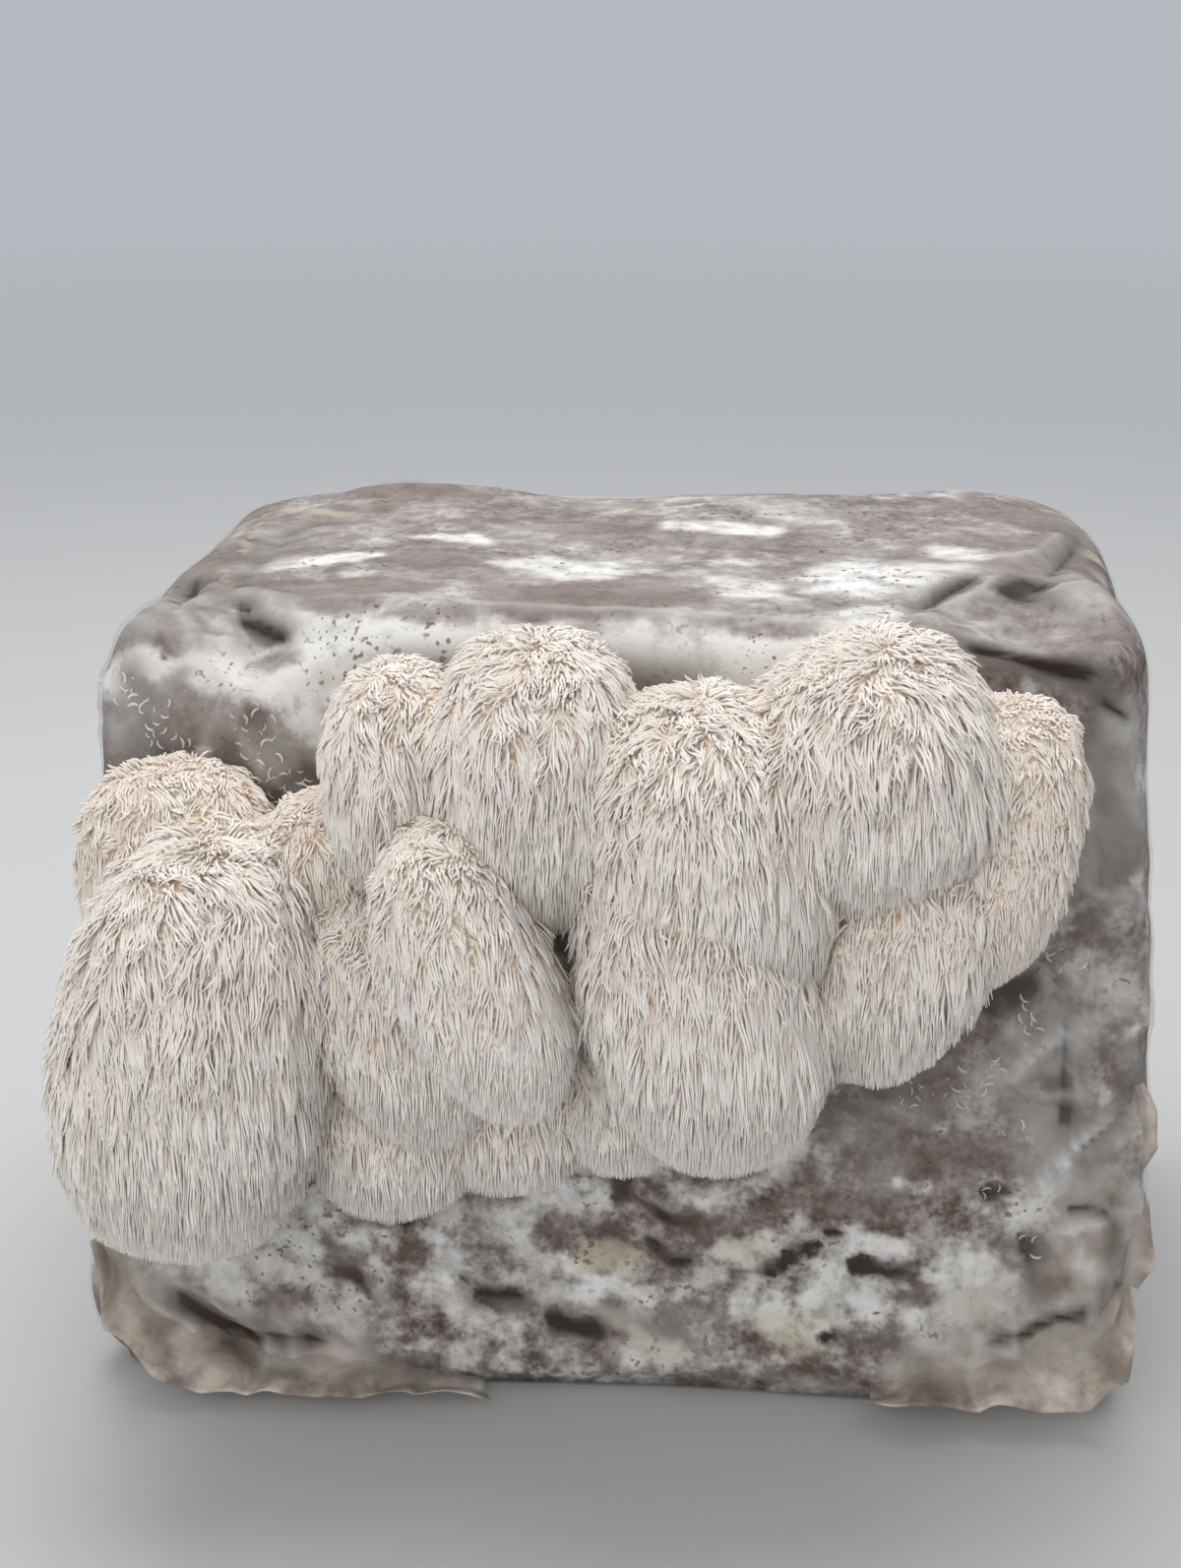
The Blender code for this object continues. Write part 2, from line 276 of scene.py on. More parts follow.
def normals_of(mesh):
    flat = np.zeros(len(mesh.vertices) * 3)
    mesh.vertex_normals.foreach_get("vector", flat)
    return flat.reshape(-1, 3)


def set_points(mesh, points):
    mesh.vertices.foreach_set("co", points.ravel())
    mesh.update()


def paint(mesh, name, numbers):
    mesh.attributes.new(name, "FLOAT", "POINT").data.foreach_set("value", numbers.astype(np.float32))


def ground_noise(points, spacing, seed=0.0):
    """Smooth noise from -1 to 1, with features of the given spacing."""
    shift = Vector((seed, -seed, 2 * seed))
    return np.array([noise.noise(Vector(p) / spacing + shift) for p in points])


def wander(points, spacing):
    """A smooth stray move for each point, from -1 to 1 along each axis."""
    return np.column_stack([ground_noise(points, spacing, seed) for seed in WANDER_SEEDS])


block_mesh = block_lattice()
block_skin = points_of(block_mesh)
block_normals = normals_of(block_mesh)
block_tree = BVHTree.FromPolygons(block_skin.tolist(), [tuple(p.vertices) for p in block_mesh.polygons])
BLOCK_DISTANCE = 0.56


def on_block(pixel):
    """The point of the block that a pixel of the photograph shows, or the nearest to it."""
    hit = block_tree.ray_cast(EYE, sight(pixel))[0]
    if hit is None:
        hit = block_tree.find_nearest(EYE + sight(pixel) * BLOCK_DISTANCE)[0]
    return np.array(hit)


def beside(points, line):
    """How far each point is from a line of points, and how far along the line that is, 0 to 1."""
    least = np.full(len(points), 9.0)
    share = np.zeros(len(points))
    lengths = [np.linalg.norm(b - a) for a, b in zip(line, line[1:])]
    total, before = sum(lengths) + 1e-9, 0.0
    for (a, b), length in zip(zip(line, line[1:]), lengths):
        along = np.clip((points - a) @ (b - a) / (length**2 + 1e-12), 0, 1)
        far = np.linalg.norm(points - a - along[:, None] * (b - a), axis=1)
        closer = far < least
        least[closer] = far[closer]
        share[closer] = ((before + along * length) / total)[closer]
        before += length
    return least, share


def marked(points, marks):
    """How much each point lies in any of the marks: half a width and the pixels along it."""
    most = np.zeros(len(points))
    for half_width, *pixels in marks:
        line = [on_block(pixel) for pixel in (pixels if len(pixels) > 1 else pixels * 2)]
        reach = half_width * np.linalg.norm(line[0] - np.array(EYE)) / FOCAL_PIXELS
        most = np.maximum(most, np.clip(1.5 - beside(points, line)[0] / reach, 0, 1))
    return most


# What the photograph shows on the block, as half a width and the pixels along each mark:
# white felt, bare sawdust, wet dark patches and creamy patches; one of the wet marks is painted shade in a
# fold hollow
FELT_MARKS = (
    (36, (282, 572), (320, 572)), (26, (345, 566), (370, 567)), (60, (560, 575), (605, 580)),
    (50, (735, 590), (770, 600)), (34, (690, 532), (765, 540)), (95, (870, 590), (950, 590)),
    (40, (900, 622), (860, 640)), (34, (975, 562), (1000, 566)), (26, (440, 545), (480, 548)),
    (30, (262, 640), (420, 650), (560, 652), (700, 662), (770, 668)), (22, (318, 690), (318, 745)),
    (14, (122, 690), (150, 690)), (13, (212, 670), (222, 690)), (7, (190, 768), (215, 764)),
    (14, (1050, 690), (1062, 702)), (12, (1120, 800), (1130, 830)), (10, (1150, 880), (1155, 930)),
    (32, (560, 1212), (612, 1222)), (16, (550, 1275), (580, 1285)), (15, (715, 1212), (765, 1214)),
    (17, (735, 1265), (775, 1262)), (38, (765, 1330), (835, 1335)), (12, (548, 1394), (606, 1394)),
    (22, (660, 1375), (690, 1372)), (8, (725, 1405), (795, 1405)), (28, (226, 1300), (236, 1332)),
    (20, (320, 1330), (328, 1332)), (16, (358, 1265), (388, 1262)), (14, (445, 1262), (475, 1266)),
    (20, (388, 1300), (440, 1305)), (9, (415, 1370), (450, 1372)), (11, (930, 1152), (958, 1148)),
    (42, (970, 1290), (990, 1320)), (18, (878, 1275), (900, 1262)), (8, (915, 1197), (935, 1197)),
    (14, (880, 1330), (930, 1345)), (17, (560, 1312), (620, 1302)), (15, (640, 1315), (705, 1322)),
    (12, (1012, 1034), (1016, 1040)), (9, (1140, 1045), (1165, 1020)), (9, (1095, 1165), (1130, 1110)),
    (10, (165, 1280), (180, 1300)), (12, (1120, 1240), (1150, 1235)),
)
BARE_MARKS = (
    (20, (270, 1320), (290, 1315)), (16, (350, 1265), (352, 1290)), (25, (820, 1205), (848, 1225)),
    (45, (985, 1035), (1030, 1030)), (30, (940, 1085), (900, 1110)), (25, (915, 1168), (1005, 1165)),
    (30, (1040, 1090), (1050, 1120)), (20, (1095, 1220), (1110, 1225)), (50, (160, 745), (300, 795)),
    (25, (130, 640), (175, 642)), (18, (295, 592), (430, 596)), (16, (630, 588), (705, 595)),
    (22, (1000, 680), (1038, 700)), (34, (1110, 760), (1130, 860)), (14, (180, 600), (260, 590)),
)
WET_AND_SHADE_MARKS = (
    (18, (638, 1205), (645, 1222)), (11, (655, 1230), (705, 1238)), (12, (668, 1270), (692, 1272)),
    (9, (750, 1292), (800, 1278), (862, 1252)), (20, (492, 1312), (526, 1314)),
    (18, (568, 1345), (606, 1350)), (12, (419, 1244), (424, 1246)), (10, (464, 1298), (468, 1300)),
    (7, (722, 1391), (805, 1391)),
    (9, (846, 1358), (856, 1356)), (12, (883, 1292), (922, 1286)), (24, (1053, 1270), (1062, 1292)),
    (13, (938, 1217), (955, 1215)), (8, (1105, 1213), (1138, 1228)), (15, (955, 1012), (1040, 1005)),
    (14, (893, 1108), (935, 1082)), (20, (262, 812), (318, 838)), (12, (298, 788), (326, 800)),
    # The mark from (1030, 602) to (1064, 580) is painted shade in the hollow of a fold at the right
    # shoulder
    (7, (138, 664), (142, 672)), (7, (165, 655), (168, 668)), (7, (1030, 602), (1045, 590), (1064, 580)),
    (6, (238, 640), (292, 652)), (4, (238, 551), (284, 556)), (5, (738, 688), (776, 690)),
    (8, (878, 1403), (916, 1410)), (9, (1085, 1085), (1087, 1130)), (9, (1006, 1212), (1024, 1206)),
    (6, (322, 1322), (324, 1325)), (9, (350, 1300), (372, 1312)), (10, (985, 690), (1030, 700)),
)
CREAM_MARKS = (
    (12, (288, 519), (348, 527)), (6, (216, 541), (262, 524)), (15, (330, 684), (352, 695)),
    (17, (1078, 566), (1106, 560)), (9, (950, 586), (965, 590)), (19, (592, 1270), (632, 1274)),
    (15, (742, 1262), (768, 1264)), (26, (775, 1342), (832, 1352)), (18, (662, 1362), (682, 1375)),
    (15, (982, 1320), (1000, 1336)), (8, (444, 1326), (450, 1328)), (20, (130, 1275), (140, 1330)),
)
WARPS = ((15 * MM, 4.5 * MM), (5 * MM, 1.6 * MM))  # spacing and reach of the wander at a mark's edge
PATCH_SPACING, SPOT_SPACING = 26 * MM, 9 * MM
FELT_ANYWHERE, FELT_PATCHES, FELT_SPOTS, FELT_LOW_DOWN, FELT_ON_LIP = 0.39, 0.30, 0.14, 0.10, 0.8
LOW_DOWN, LOW_DOWN_FADE = 110 * MM, 60 * MM
LIP_FOOT, LIP_FOOT_FADE = 148 * MM, 5 * MM
LIP_END, LIP_END_FADE = 62 * MM, 20 * MM

wandered = block_skin.copy()
for spacing, reach in WARPS:
    wandered += reach * wander(block_skin, spacing)
patches = ground_noise(block_skin, PATCH_SPACING, 3.1)
spots = ground_noise(block_skin, SPOT_SPACING, 7.7)
low_down = np.clip((LOW_DOWN - block_skin[:, 2]) / LOW_DOWN_FADE, 0, 1)
low_down *= np.clip(-block_normals[:, 1], 0, 1)
level_top = np.clip(block_normals[:, 2] * 1.5 - 0.4, 0, 1)
front_lip = np.clip((0.82 - block_normals[:, 2]) / 0.15, 0, 1)
front_lip *= np.clip((block_skin[:, 2] - LIP_FOOT) / LIP_FOOT_FADE, 0, 1)
front_lip *= np.clip(-1.5 * block_normals[:, 1], 0, 1)
front_lip *= np.clip((LIP_END - block_skin[:, 0]) / LIP_END_FADE, 0, 1)
felt = FELT_ANYWHERE + FELT_PATCHES * patches + FELT_SPOTS * spots
felt += FELT_LOW_DOWN * low_down + FELT_ON_LIP * front_lip
felt *= 1 - marked(wandered, BARE_MARKS)
felt = np.maximum(felt, 0.8 * marked(wandered, FELT_MARKS))
wet = np.clip(-0.30 - patches * 0.8 + spots * 0.5, 0, 1) * 0.8
# Wet patches, and painted shade in one fold hollow
wet = np.maximum(wet * (1 - marked(wandered, FELT_MARKS)), marked(wandered, WET_AND_SHADE_MARKS))
cream = np.maximum(np.clip(spots - 0.35, 0, 1), marked(wandered, CREAM_MARKS))
paint(block_mesh, "felt", felt)
paint(block_mesh, "wet", wet)
paint(block_mesh, "cream", cream)
paint(block_mesh, "calm", level_top)

# Noise scales are counts to the metre: clouds of 16 mm, mottles of 6, grains of 2 and fibres
CLOUDS, MOTTLES, GRAINS, FIBRES, SPECKS, SPECK_CROWDS = 62.0, 165.0, 520.0, 1500.0, 620.0, 48.0
DARK_DUST, TOP_DUST, PALE_DUST = (0.08, 0.055, 0.043), (0.18, 0.147, 0.137), (0.27, 0.22, 0.20)
THIN_FELT, THICK_FELT = (0.54, 0.52, 0.505), (0.88, 0.865, 0.84)
CREAM = (0.64, 0.58, 0.42)
WET_AND_SHADE_DARK, WET_AND_SHADE_BROWN = (0.006, 0.004, 0.003), (0.040, 0.028, 0.022)
SPECK_BROWN = (0.10, 0.055, 0.03)
PAINTED_FOLD_SHADE = (0.025, 0.017, 0.012)

sawdust_material, tree, shader = finish("sawdust", {"Specular IOR Level": 0.12})
where = tree.node("ShaderNodeTexCoord")["Object"]
cloud = tree.noise(where, CLOUDS, 3.0, 0.5)
mottle = tree.noise(where, MOTTLES, 3.0, 0.55)
grain = tree.noise(where, GRAINS, 3.0, 0.6)
fibre = tree.noise(where, FIBRES, 2.0, 0.6)
uneven = (cloud - 0.5) * 1.5 + (mottle - 0.5) * 1.2 + (grain - 0.5) * 0.7
uneven = uneven * (1 - tree.painted("calm") * 0.6)
felt_share = tree.rise(tree.painted("felt") + uneven, 0.18, 0.92)
wet_and_shade_share = tree.rise(tree.painted("wet") + uneven * 1.1 + (grain - 0.5) * 0.3, 0.26, 0.98)
cream_share = tree.rise(tree.painted("cream") + uneven, 0.20, 1.0) * 0.55
crowded = tree.rise(tree.noise(where, SPECK_CROWDS, 2.0, 0.5), 0.44, 0.58)
speck_share = tree.rise(tree.noise(where, SPECKS, 1.5, 0.5), 0.62, 0.67) * crowded * 0.85
dusty = tree.mix(tree.painted("calm"), DARK_DUST, TOP_DUST)
thickness = tree.rise(mottle + tree.painted("felt") * 0.4, 0.58, 0.94)
colour = tree.mix(tree.rise(mottle * 0.5 + grain * 0.5, 0.35, 0.65), dusty, PALE_DUST)
colour = tree.mix(felt_share, colour, tree.mix(thickness, THIN_FELT, THICK_FELT))
colour = tree.mix(cream_share, colour, CREAM)
colour = tree.mix(wet_and_shade_share, colour, tree.mix(grain, WET_AND_SHADE_DARK, WET_AND_SHADE_BROWN))
colour = tree.mix(speck_share, colour, SPECK_BROWN)
# Painted shade: the sawdust is darkened in the hollows of the folds
colour = tree.mix(tree.painted("shade") * 0.95, colour, PAINTED_FOLD_SHADE)
tree.feed(shader.inputs["Base Color"], colour)
tree.feed(shader.inputs["Roughness"], 0.85 - wet_and_shade_share * 0.5)
height = grain * 0.6 + fibre * 0.4 + felt_share * 0.8
bump = tree.node("ShaderNodeBump", None, {"Strength": 0.5, "Distance": 0.0008, "Height": height})
tree.feed(shader.inputs["Normal"], bump)


def show(name, mesh, material, slot, *nodes):
    """Makes a mesh a visible piece of the part, in place of the CAD nodes named."""
    mesh.name = name
    mesh.materials.clear()
    mesh.materials.append(material)
    mesh.shade_smooth()
    piece = bpy.data.objects.new(name, mesh)
    bpy.context.collection.objects.link(piece)
    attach(piece, "root")
    if nodes:
        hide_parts(*nodes)
    return piece


# The folds of the film, which the sawdust under it follows, with painted shade in their hollows and
# painted highlights along their ridges
CREASES = (
    # pixels along it, how far it stands out in mm, half its width in mm, sharp or not
    (((296, 610), (480, 620), (700, 630), (960, 655)), 2.2, 2.2, True),
    (((330, 700), (560, 700), (770, 712)), -1.2, 7.0, False),
    (((138, 599), (176, 587), (202, 580)), -3.0, 2.2, True),
    (((186, 594), (197, 610)), -2.6, 1.8, True),
    (((150, 622), (200, 602), (240, 600)), 1.6, 2.6, True),
    (((196, 619), (222, 614), (250, 619), (242, 630)), -3.0, 1.8, True),
    (((236, 630), (262, 637), (287, 648), (290, 656)), -3.2, 2.4, True),
    (((258, 606), (280, 622), (303, 640), (308, 682)), 1.6, 2.2, True),
    (((931, 624), (962, 598), (998, 581)), -3.2, 2.4, True),
    (((925, 640), (960, 616), (1000, 600)), 1.6, 2.6, True),
    (((1018, 578), (1056, 565), (1080, 544)), 1.8, 2.4, True),
    (((1016, 604), (1040, 597), (1066, 586)), -3.6, 6.5, False),
    (((1066, 584), (1086, 564), (1100, 542)), -2.6, 1.8, True),
    (((1028, 622), (1070, 612), (1112, 622)), 1.4, 2.8, False),
    (((940, 660), (992, 643), (1020, 637), (1084, 658), (1122, 678)), 2.4, 2.4, True),
    (((968, 652), (1020, 661), (1064, 677), (1100, 685), (1130, 689)), -4.0, 2.0, True),
    (((1112, 706), (1130, 719), (1150, 734)), -2.8, 1.6, True),
    (((345, 505), (410, 497), (480, 508)), 2.2, 5.0, False),
    (((215, 545), (300, 535), (400, 520)), -1.2, 3.0, True),
    (((1081, 1022), (1085, 1082), (1081, 1168)), -3.4, 1.6, True),
    (((1064, 1190), (1076, 1185)), -3.0, 1.8, True),
    (((1013, 1106), (1053, 1060), (1127, 1025), (1166, 1000)), 2.2, 2.6, True),
    (((1095, 1035), (1108, 1090), (1100, 1140)), 1.5, 2.8, False),
    (((1030, 1208), (1081, 1183), (1104, 1150), (1140, 1118)), 2.4, 2.2, True),
    (((1090, 1180), (1115, 1150), (1150, 1120)), -2.2, 2.0, True),
    (((1056, 1247), (1098, 1240), (1130, 1240)), 2.0, 2.0, True),
    (((1076, 1228), (1105, 1228), (1135, 1236)), -2.4, 1.8, True),
    (((1144, 1188), (1150, 1226), (1148, 1284)), 1.8, 2.0, True),
    (((1128, 1200), (1132, 1250), (1126, 1290)), -1.8, 2.2, True),
    (((985, 1300), (1040, 1318), (1110, 1280)), 1.2, 3.4, False),
    (((168, 1302), (192, 1326), (225, 1348), (270, 1360), (345, 1364)), -3.8, 2.2, True),
    (((120, 1290), (180, 1300), (260, 1336)), 1.8, 2.4, True),
    (((985, 1368), (1042, 1355), (1098, 1335), (1140, 1300)), -2.8, 2.0, True),
    (((1000, 1345), (1060, 1330), (1136, 1284)), 1.6, 2.4, True),
    (((230, 690), (260, 730), (290, 790)), 1.4, 3.0, False),
    (((130, 660), (150, 740), (190, 800)), -1.3, 3.0, False),
    (((1120, 700), (1135, 820), (1150, 950)), 1.6, 3.5, False),
    (((1105, 720), (1115, 830), (1120, 940)), -1.3, 2.4, True),
    (((500, 540), (640, 556), (820, 548)), 0.9, 4.0, False),
    (((420, 1385), (600, 1392), (820, 1385)), 1.2, 2.2, False),
)
CRUMPLED_MARKS = (
    # half a width and the pixels along each part where the film is loose and crumpled
    (70, (150, 720), (280, 770)), (60, (1120, 980), (1105, 1250)), (60, (1000, 1340), (1120, 1360)),
    (45, (150, 1320), (320, 1370)), (28, (1085, 600), (1118, 640)), (45, (140, 600), (240, 625)),
    (50, (930, 1110), (1040, 1050)), (36, (1130, 750), (1140, 900)),
)
FULL_SHADE, FULL_SHINE = 2.2, 2.5  # depth and height in mm from which a fold is darkest or brightest
FOLD_SLANT = math.radians(-35)
RIDGE_HEIGHT, RIDGE_SPACING = 2.1 * MM, 13 * MM
SMALL_RIDGE_HEIGHT, SMALL_RIDGE_SPACING = 0.7 * MM, 5.5 * MM
DRAPE_HEIGHT, DRAPE_SPACING = 0.9 * MM, 17 * MM
BLOCK_RISES, BLOCK_CLEAR = 0.7, 0.1 * MM  # share of a fold's height, and the room left under it
lift = np.zeros(len(block_skin))
shade = np.zeros(len(block_skin))
shine = np.zeros(len(block_skin))
# Painted light: a sunk fold is painted dark in its hollow as painted shade, and a sharp raised fold gets a
# painted highlight along its ridge
for pixels, height, width, sharp in CREASES:
    far, share = beside(block_skin, [on_block(pixel) for pixel in pixels])
    far /= width * MM
    fold = np.exp(-far) if sharp else np.exp(-far * far)
    fold *= np.clip(np.minimum(share, 1 - share) * 6, 0.25, 1)
    lift += fold * height * MM
    if height < 0:
        shade = np.maximum(shade, np.clip(fold * -height / FULL_SHADE, 0, 1))
    elif sharp:
        shine = np.maximum(shine, fold**2 * min(1.0, height / FULL_SHINE))
crumpled = marked(wandered, CRUMPLED_MARKS)
slanted = wandered @ np.array(Matrix.Rotation(FOLD_SLANT, 3, "Y")) * np.array([1.0, 1.0, 0.45])
ridges = 1 - 2.2 * np.abs(ground_noise(slanted, RIDGE_SPACING, 1.3))
small_ridges = 1 - 2.2 * np.abs(ground_noise(slanted, SMALL_RIDGE_SPACING, 5.1))
lift += np.abs(ground_noise(block_skin, DRAPE_SPACING, 8.2)) * DRAPE_HEIGHT
lift += crumpled * (ridges * RIDGE_HEIGHT + small_ridges * SMALL_RIDGE_HEIGHT)
# Painted shade in the valleys of the crumpled film, and a painted highlight along its ridges
shade = np.maximum(shade, crumpled * np.clip(-1.5 * ridges, 0, 1) * 0.8)
shine = np.maximum(shine, crumpled * np.clip(2.6 * ridges - 1.6, 0, 1) * 0.5)
sole = block_skin[:, 2] < FILM_REACH + 0.1 * MM
lift[sole] = 0.0


def keep_off_ground(points, lowest):
    """The same points, moved up where they lie too low."""
    points[:, 2] = np.maximum(points[:, 2], lowest)
    return points


block_move = np.where(lift > 0, lift * BLOCK_RISES, lift) - BLOCK_CLEAR
set_points(block_mesh, keep_off_ground(block_skin + block_normals * block_move[:, None], FILM_REACH))
# The folds' painted shade goes onto the block
paint(block_mesh, "shade", shade)
show("sawdust_block", block_mesh, sawdust_material, "sawdust", "substrate_block")

# The film.  A clear polythene bag drawn tight round the block.  It is hazy, pleated at
# the shoulders, and its spare corners stick out at the foot and the right edge.
FILM_WALL = 0.25 * MM
FILM_SINKS = 0.75  # share of a crease's depth
FLAPS = (
    # the pixels along its root and along its free edge, and how far forward that edge is in mm
    (((118, 1250), (150, 1300), (190, 1330), (235, 1356), (300, 1370), (370, 1378), (490, 1398)),
     ((90, 1264), (104, 1300), (100, 1345), (135, 1384), (200, 1409), (280, 1411), (370, 1415),
      (500, 1416)), -84),
    (((885, 1406), (950, 1388), (1042, 1357), (1098, 1336), (1138, 1303)),
     ((880, 1424), (957, 1432), (1042, 1431), (1108, 1431), (1146, 1404), (1154, 1360),
      (1148, 1306)), -84),
    (((1128, 1108), (1136, 1150), (1140, 1190)),
     ((1160, 1098), (1172, 1128), (1176, 1165), (1156, 1194)), -66),
    (((1138, 1190), (1140, 1240), (1136, 1300)),
     ((1156, 1194), (1166, 1224), (1172, 1256), (1177, 1284), (1156, 1310)), -68),
)
FLAP_CELLS = (72, 12)  # points along a flap, and out from its root
FLAP_TUCK = 1.5 * MM  # how far its root is tucked into the block
RIPPLE_HEIGHT, RIPPLE_SPACING, CRINKLE_SPACING = 2.2 * MM, 15 * MM, 5 * MM
EDGE_WANDER, EDGE_SPACING = 0.15, 12 * MM


def evenly(line, count):
    """The line of points again, as so many points evenly spaced along it."""
    line = np.array(line)
    along = np.concatenate(([0], np.cumsum(np.linalg.norm(np.diff(line, axis=0), axis=1))))
    steps = np.linspace(0, along[-1], count)
    return np.column_stack([np.interp(steps, along, line[:, axis]) for axis in range(3)])


def in_front(pixel, forward):
    """The point behind a pixel on the upright plane that far forward, or on the floor."""
    ray = sight(pixel)
    reach = min((forward * MM - EYE.y) / ray.y, (FILM_WALL - EYE.z) / ray.z)
    return np.array(EYE + ray * reach)


def flap_sheet(root, edge, forward):
    """A rippled sheet of film, closed all round: its points, its faces and its ripple."""
    count, rows = FLAP_CELLS
    near = evenly([on_block(pixel) for pixel in root], count)
    near += np.array(ahead) * FLAP_TUCK
    far = evenly([in_front(pixel, forward) for pixel in edge], count)
    far += EDGE_WANDER * ground_noise(far, EDGE_SPACING, 3.0)[:, None] * (near - far)
    out = np.cross(near[-1] - near[0], far[count // 2] - near[count // 2])
    out /= np.linalg.norm(out)
    sheet, folds = [], []
    for row in range(rows):
        t = row / (rows - 1)
        line = near * (1 - t) + far * t
        pleats = line * np.array([1.0, 1.0, 0.5])
        ripple = 1 - 3.0 * np.abs(ground_noise(pleats, RIPPLE_SPACING, 2.0))
        ripple += 0.5 * ground_noise(pleats, CRINKLE_SPACING, 6.0)
        held = math.sin(math.pi * min(t * 0.7, 1))
        sheet.append(line + out * (RIPPLE_HEIGHT * ripple * held)[:, None])
        folds.append(ripple)
    sheet = np.concatenate(sheet)
    folds = np.concatenate(folds * 2)
    points = np.concatenate((sheet + out * FILM_WALL / 2, sheet - out * FILM_WALL / 2))
    points = keep_off_ground(points, FILM_WALL)
    under = count * rows
    faces = []
    for row in range(rows - 1):
        for k in range(count - 1):
            a = row * count + k
            quad = (a, a + 1, a + count + 1, a + count)
            faces += [quad, tuple(under + i for i in reversed(quad))]
    last = (rows - 1) * count
    rim = [*range(count), *range(2 * count - 1, last, count), *range(last + count - 1, last - 1, -1)]
    rim += range(last - count, 0, -count)
    faces += [(b, a, under + a, under + b) for a, b in zip(rim, rim[1:] + rim[:1])]
    return points, faces, folds


# Where the film is covered in small raised crescents, each painted white as a highlight
CURL_MARKS = (
    (17, (250, 700), (262, 740), (276, 800)), (18, (125, 700), (175, 750)),
    (12, (1048, 1025), (1054, 1048)), (17, (985, 1112), (1008, 1086)),
    (10, (912, 1122), (932, 1108)), (13, (1066, 968), (1095, 975)),
    (8, (1028, 1152), (1036, 1150)), (8, (1042, 1264), (1054, 1262)), (8, (1000, 1205), (1008, 1208)),
    (12, (205, 790), (225, 800)), (10, (300, 770), (306, 800)),
)
# Where the film at the foot is stained like the flaps
FOOT_MARKS = (
    (30, (115, 1290), (165, 1345), (350, 1388)), (34, (1150, 1290), (1040, 1375), (920, 1405)),
    (9, (350, 1404), (600, 1409), (880, 1412)),
)
film_move = np.maximum(lift, lift * FILM_SINKS) + FILM_GAP
film_points = [keep_off_ground(block_skin + block_normals * film_move[:, None], FILM_WALL)]
film_faces = [tuple(face.vertices) for face in block_mesh.polygons]
flap_folds = []
for flap in FLAPS:
    points, faces, folds = flap_sheet(*flap)
    flap_folds.append(folds)
    start = sum(len(group) for group in film_points)
    film_faces += [tuple(start + i for i in face) for face in faces]
    film_points.append(points)
spare = sum(len(group) for group in film_points[1:])
film_mesh = bpy.data.meshes.new("film_bag")
film_mesh.from_pydata(np.concatenate(film_points), [], film_faces)
near_foot = marked(wandered, FOOT_MARKS)
flap_folds = np.concatenate(flap_folds)
# Painted light on the flaps: painted shade in the valleys of their ripples and a painted highlight along
# their ridges
paint(film_mesh, "shade", np.concatenate((shade, np.clip(-flap_folds - 0.1, 0, 1) * 0.55)))
paint(film_mesh, "shine", np.concatenate((shine, np.clip(flap_folds * 2 - 1.2, 0, 1) * 0.35)))
out_at = np.concatenate([np.repeat(np.linspace(0, 1, FLAP_CELLS[1]), FLAP_CELLS[0])] * 2 * len(FLAPS))
paint(film_mesh, "spare", np.concatenate((near_foot * 0.5, 0.35 + 0.65 * out_at)))
paint(film_mesh, "misted", np.concatenate((np.clip(1 - 1.6 * wet, 0, 1), np.ones(spare))))
paint(film_mesh, "loose", np.concatenate((crumpled, np.zeros(spare))))
paint(film_mesh, "curly", np.concatenate((marked(block_skin, CURL_MARKS), np.zeros(spare))))

HAZES, STAINS, WRINKLES = 42.0, 95.0, (260.0, 90.0)  # noise scales, counts to the metre
CLEAR_FILM, HAZY_FILM = (0.50, 0.45, 0.41), (0.80, 0.765, 0.73)
STAINED_FILM, CLEAN_FLAP = (0.30, 0.235, 0.185), (0.70, 0.61, 0.52)
FOLD_SHADE, FOLD_SHINE = (0.05, 0.035, 0.027), (0.92, 0.92, 0.92)
ALPHA_CLEAR, ALPHA_HAZE, ALPHA_LOOSE, ALPHA_SHINE, ALPHA_SHADE = 0.05, 0.20, 0.16, 0.6, 0.85
ALPHA_FLAP, ALPHA_STAIN = 0.50, 0.36

film_material, tree, shader = finish("film", {"IOR": 1.5, "Specular IOR Level": 0.12})
where = tree.node("ShaderNodeTexCoord")["Object"]
haze = tree.rise(tree.noise(where, HAZES, 5.0, 0.6), 0.36, 0.70) * tree.painted("misted")
# Painted light: shine whitens fold ridges and crescents as a painted highlight, shade darkens fold hollows
# as painted shade, and both make the film less clear
light = tree.painted("shine") * 0.6
dark = tree.painted("shade")
spare_film = tree.painted("spare")
stain = tree.rise(tree.noise(where, STAINS, 4.0, 0.6), 0.32, 0.68)
colour = tree.mix(haze, CLEAR_FILM, HAZY_FILM)
colour = tree.mix(spare_film, colour, tree.mix(stain, STAINED_FILM, CLEAN_FLAP))
colour = tree.mix(dark, colour, FOLD_SHADE)
colour = tree.mix(light, colour, FOLD_SHINE)
tree.feed(shader.inputs["Base Color"], colour)
alpha = ALPHA_CLEAR + haze * ALPHA_HAZE + tree.painted("loose") * ALPHA_LOOSE
alpha = alpha + light * ALPHA_SHINE + dark * ALPHA_SHADE
tree.feed(shader.inputs["Alpha"], alpha + spare_film * (ALPHA_FLAP + stain * ALPHA_STAIN))
tree.feed(shader.inputs["Roughness"], 0.22 + haze * 0.22)
wrinkle = tree.noise(where, WRINKLES[0], 3.0, 0.6) * 0.35 + tree.noise(where, WRINKLES[1], 2.0, 0.5)
bump = tree.node("ShaderNodeBump", None, {"Strength": 0.4, "Distance": 0.0012, "Height": wrinkle})
tree.feed(shader.inputs["Normal"], bump)


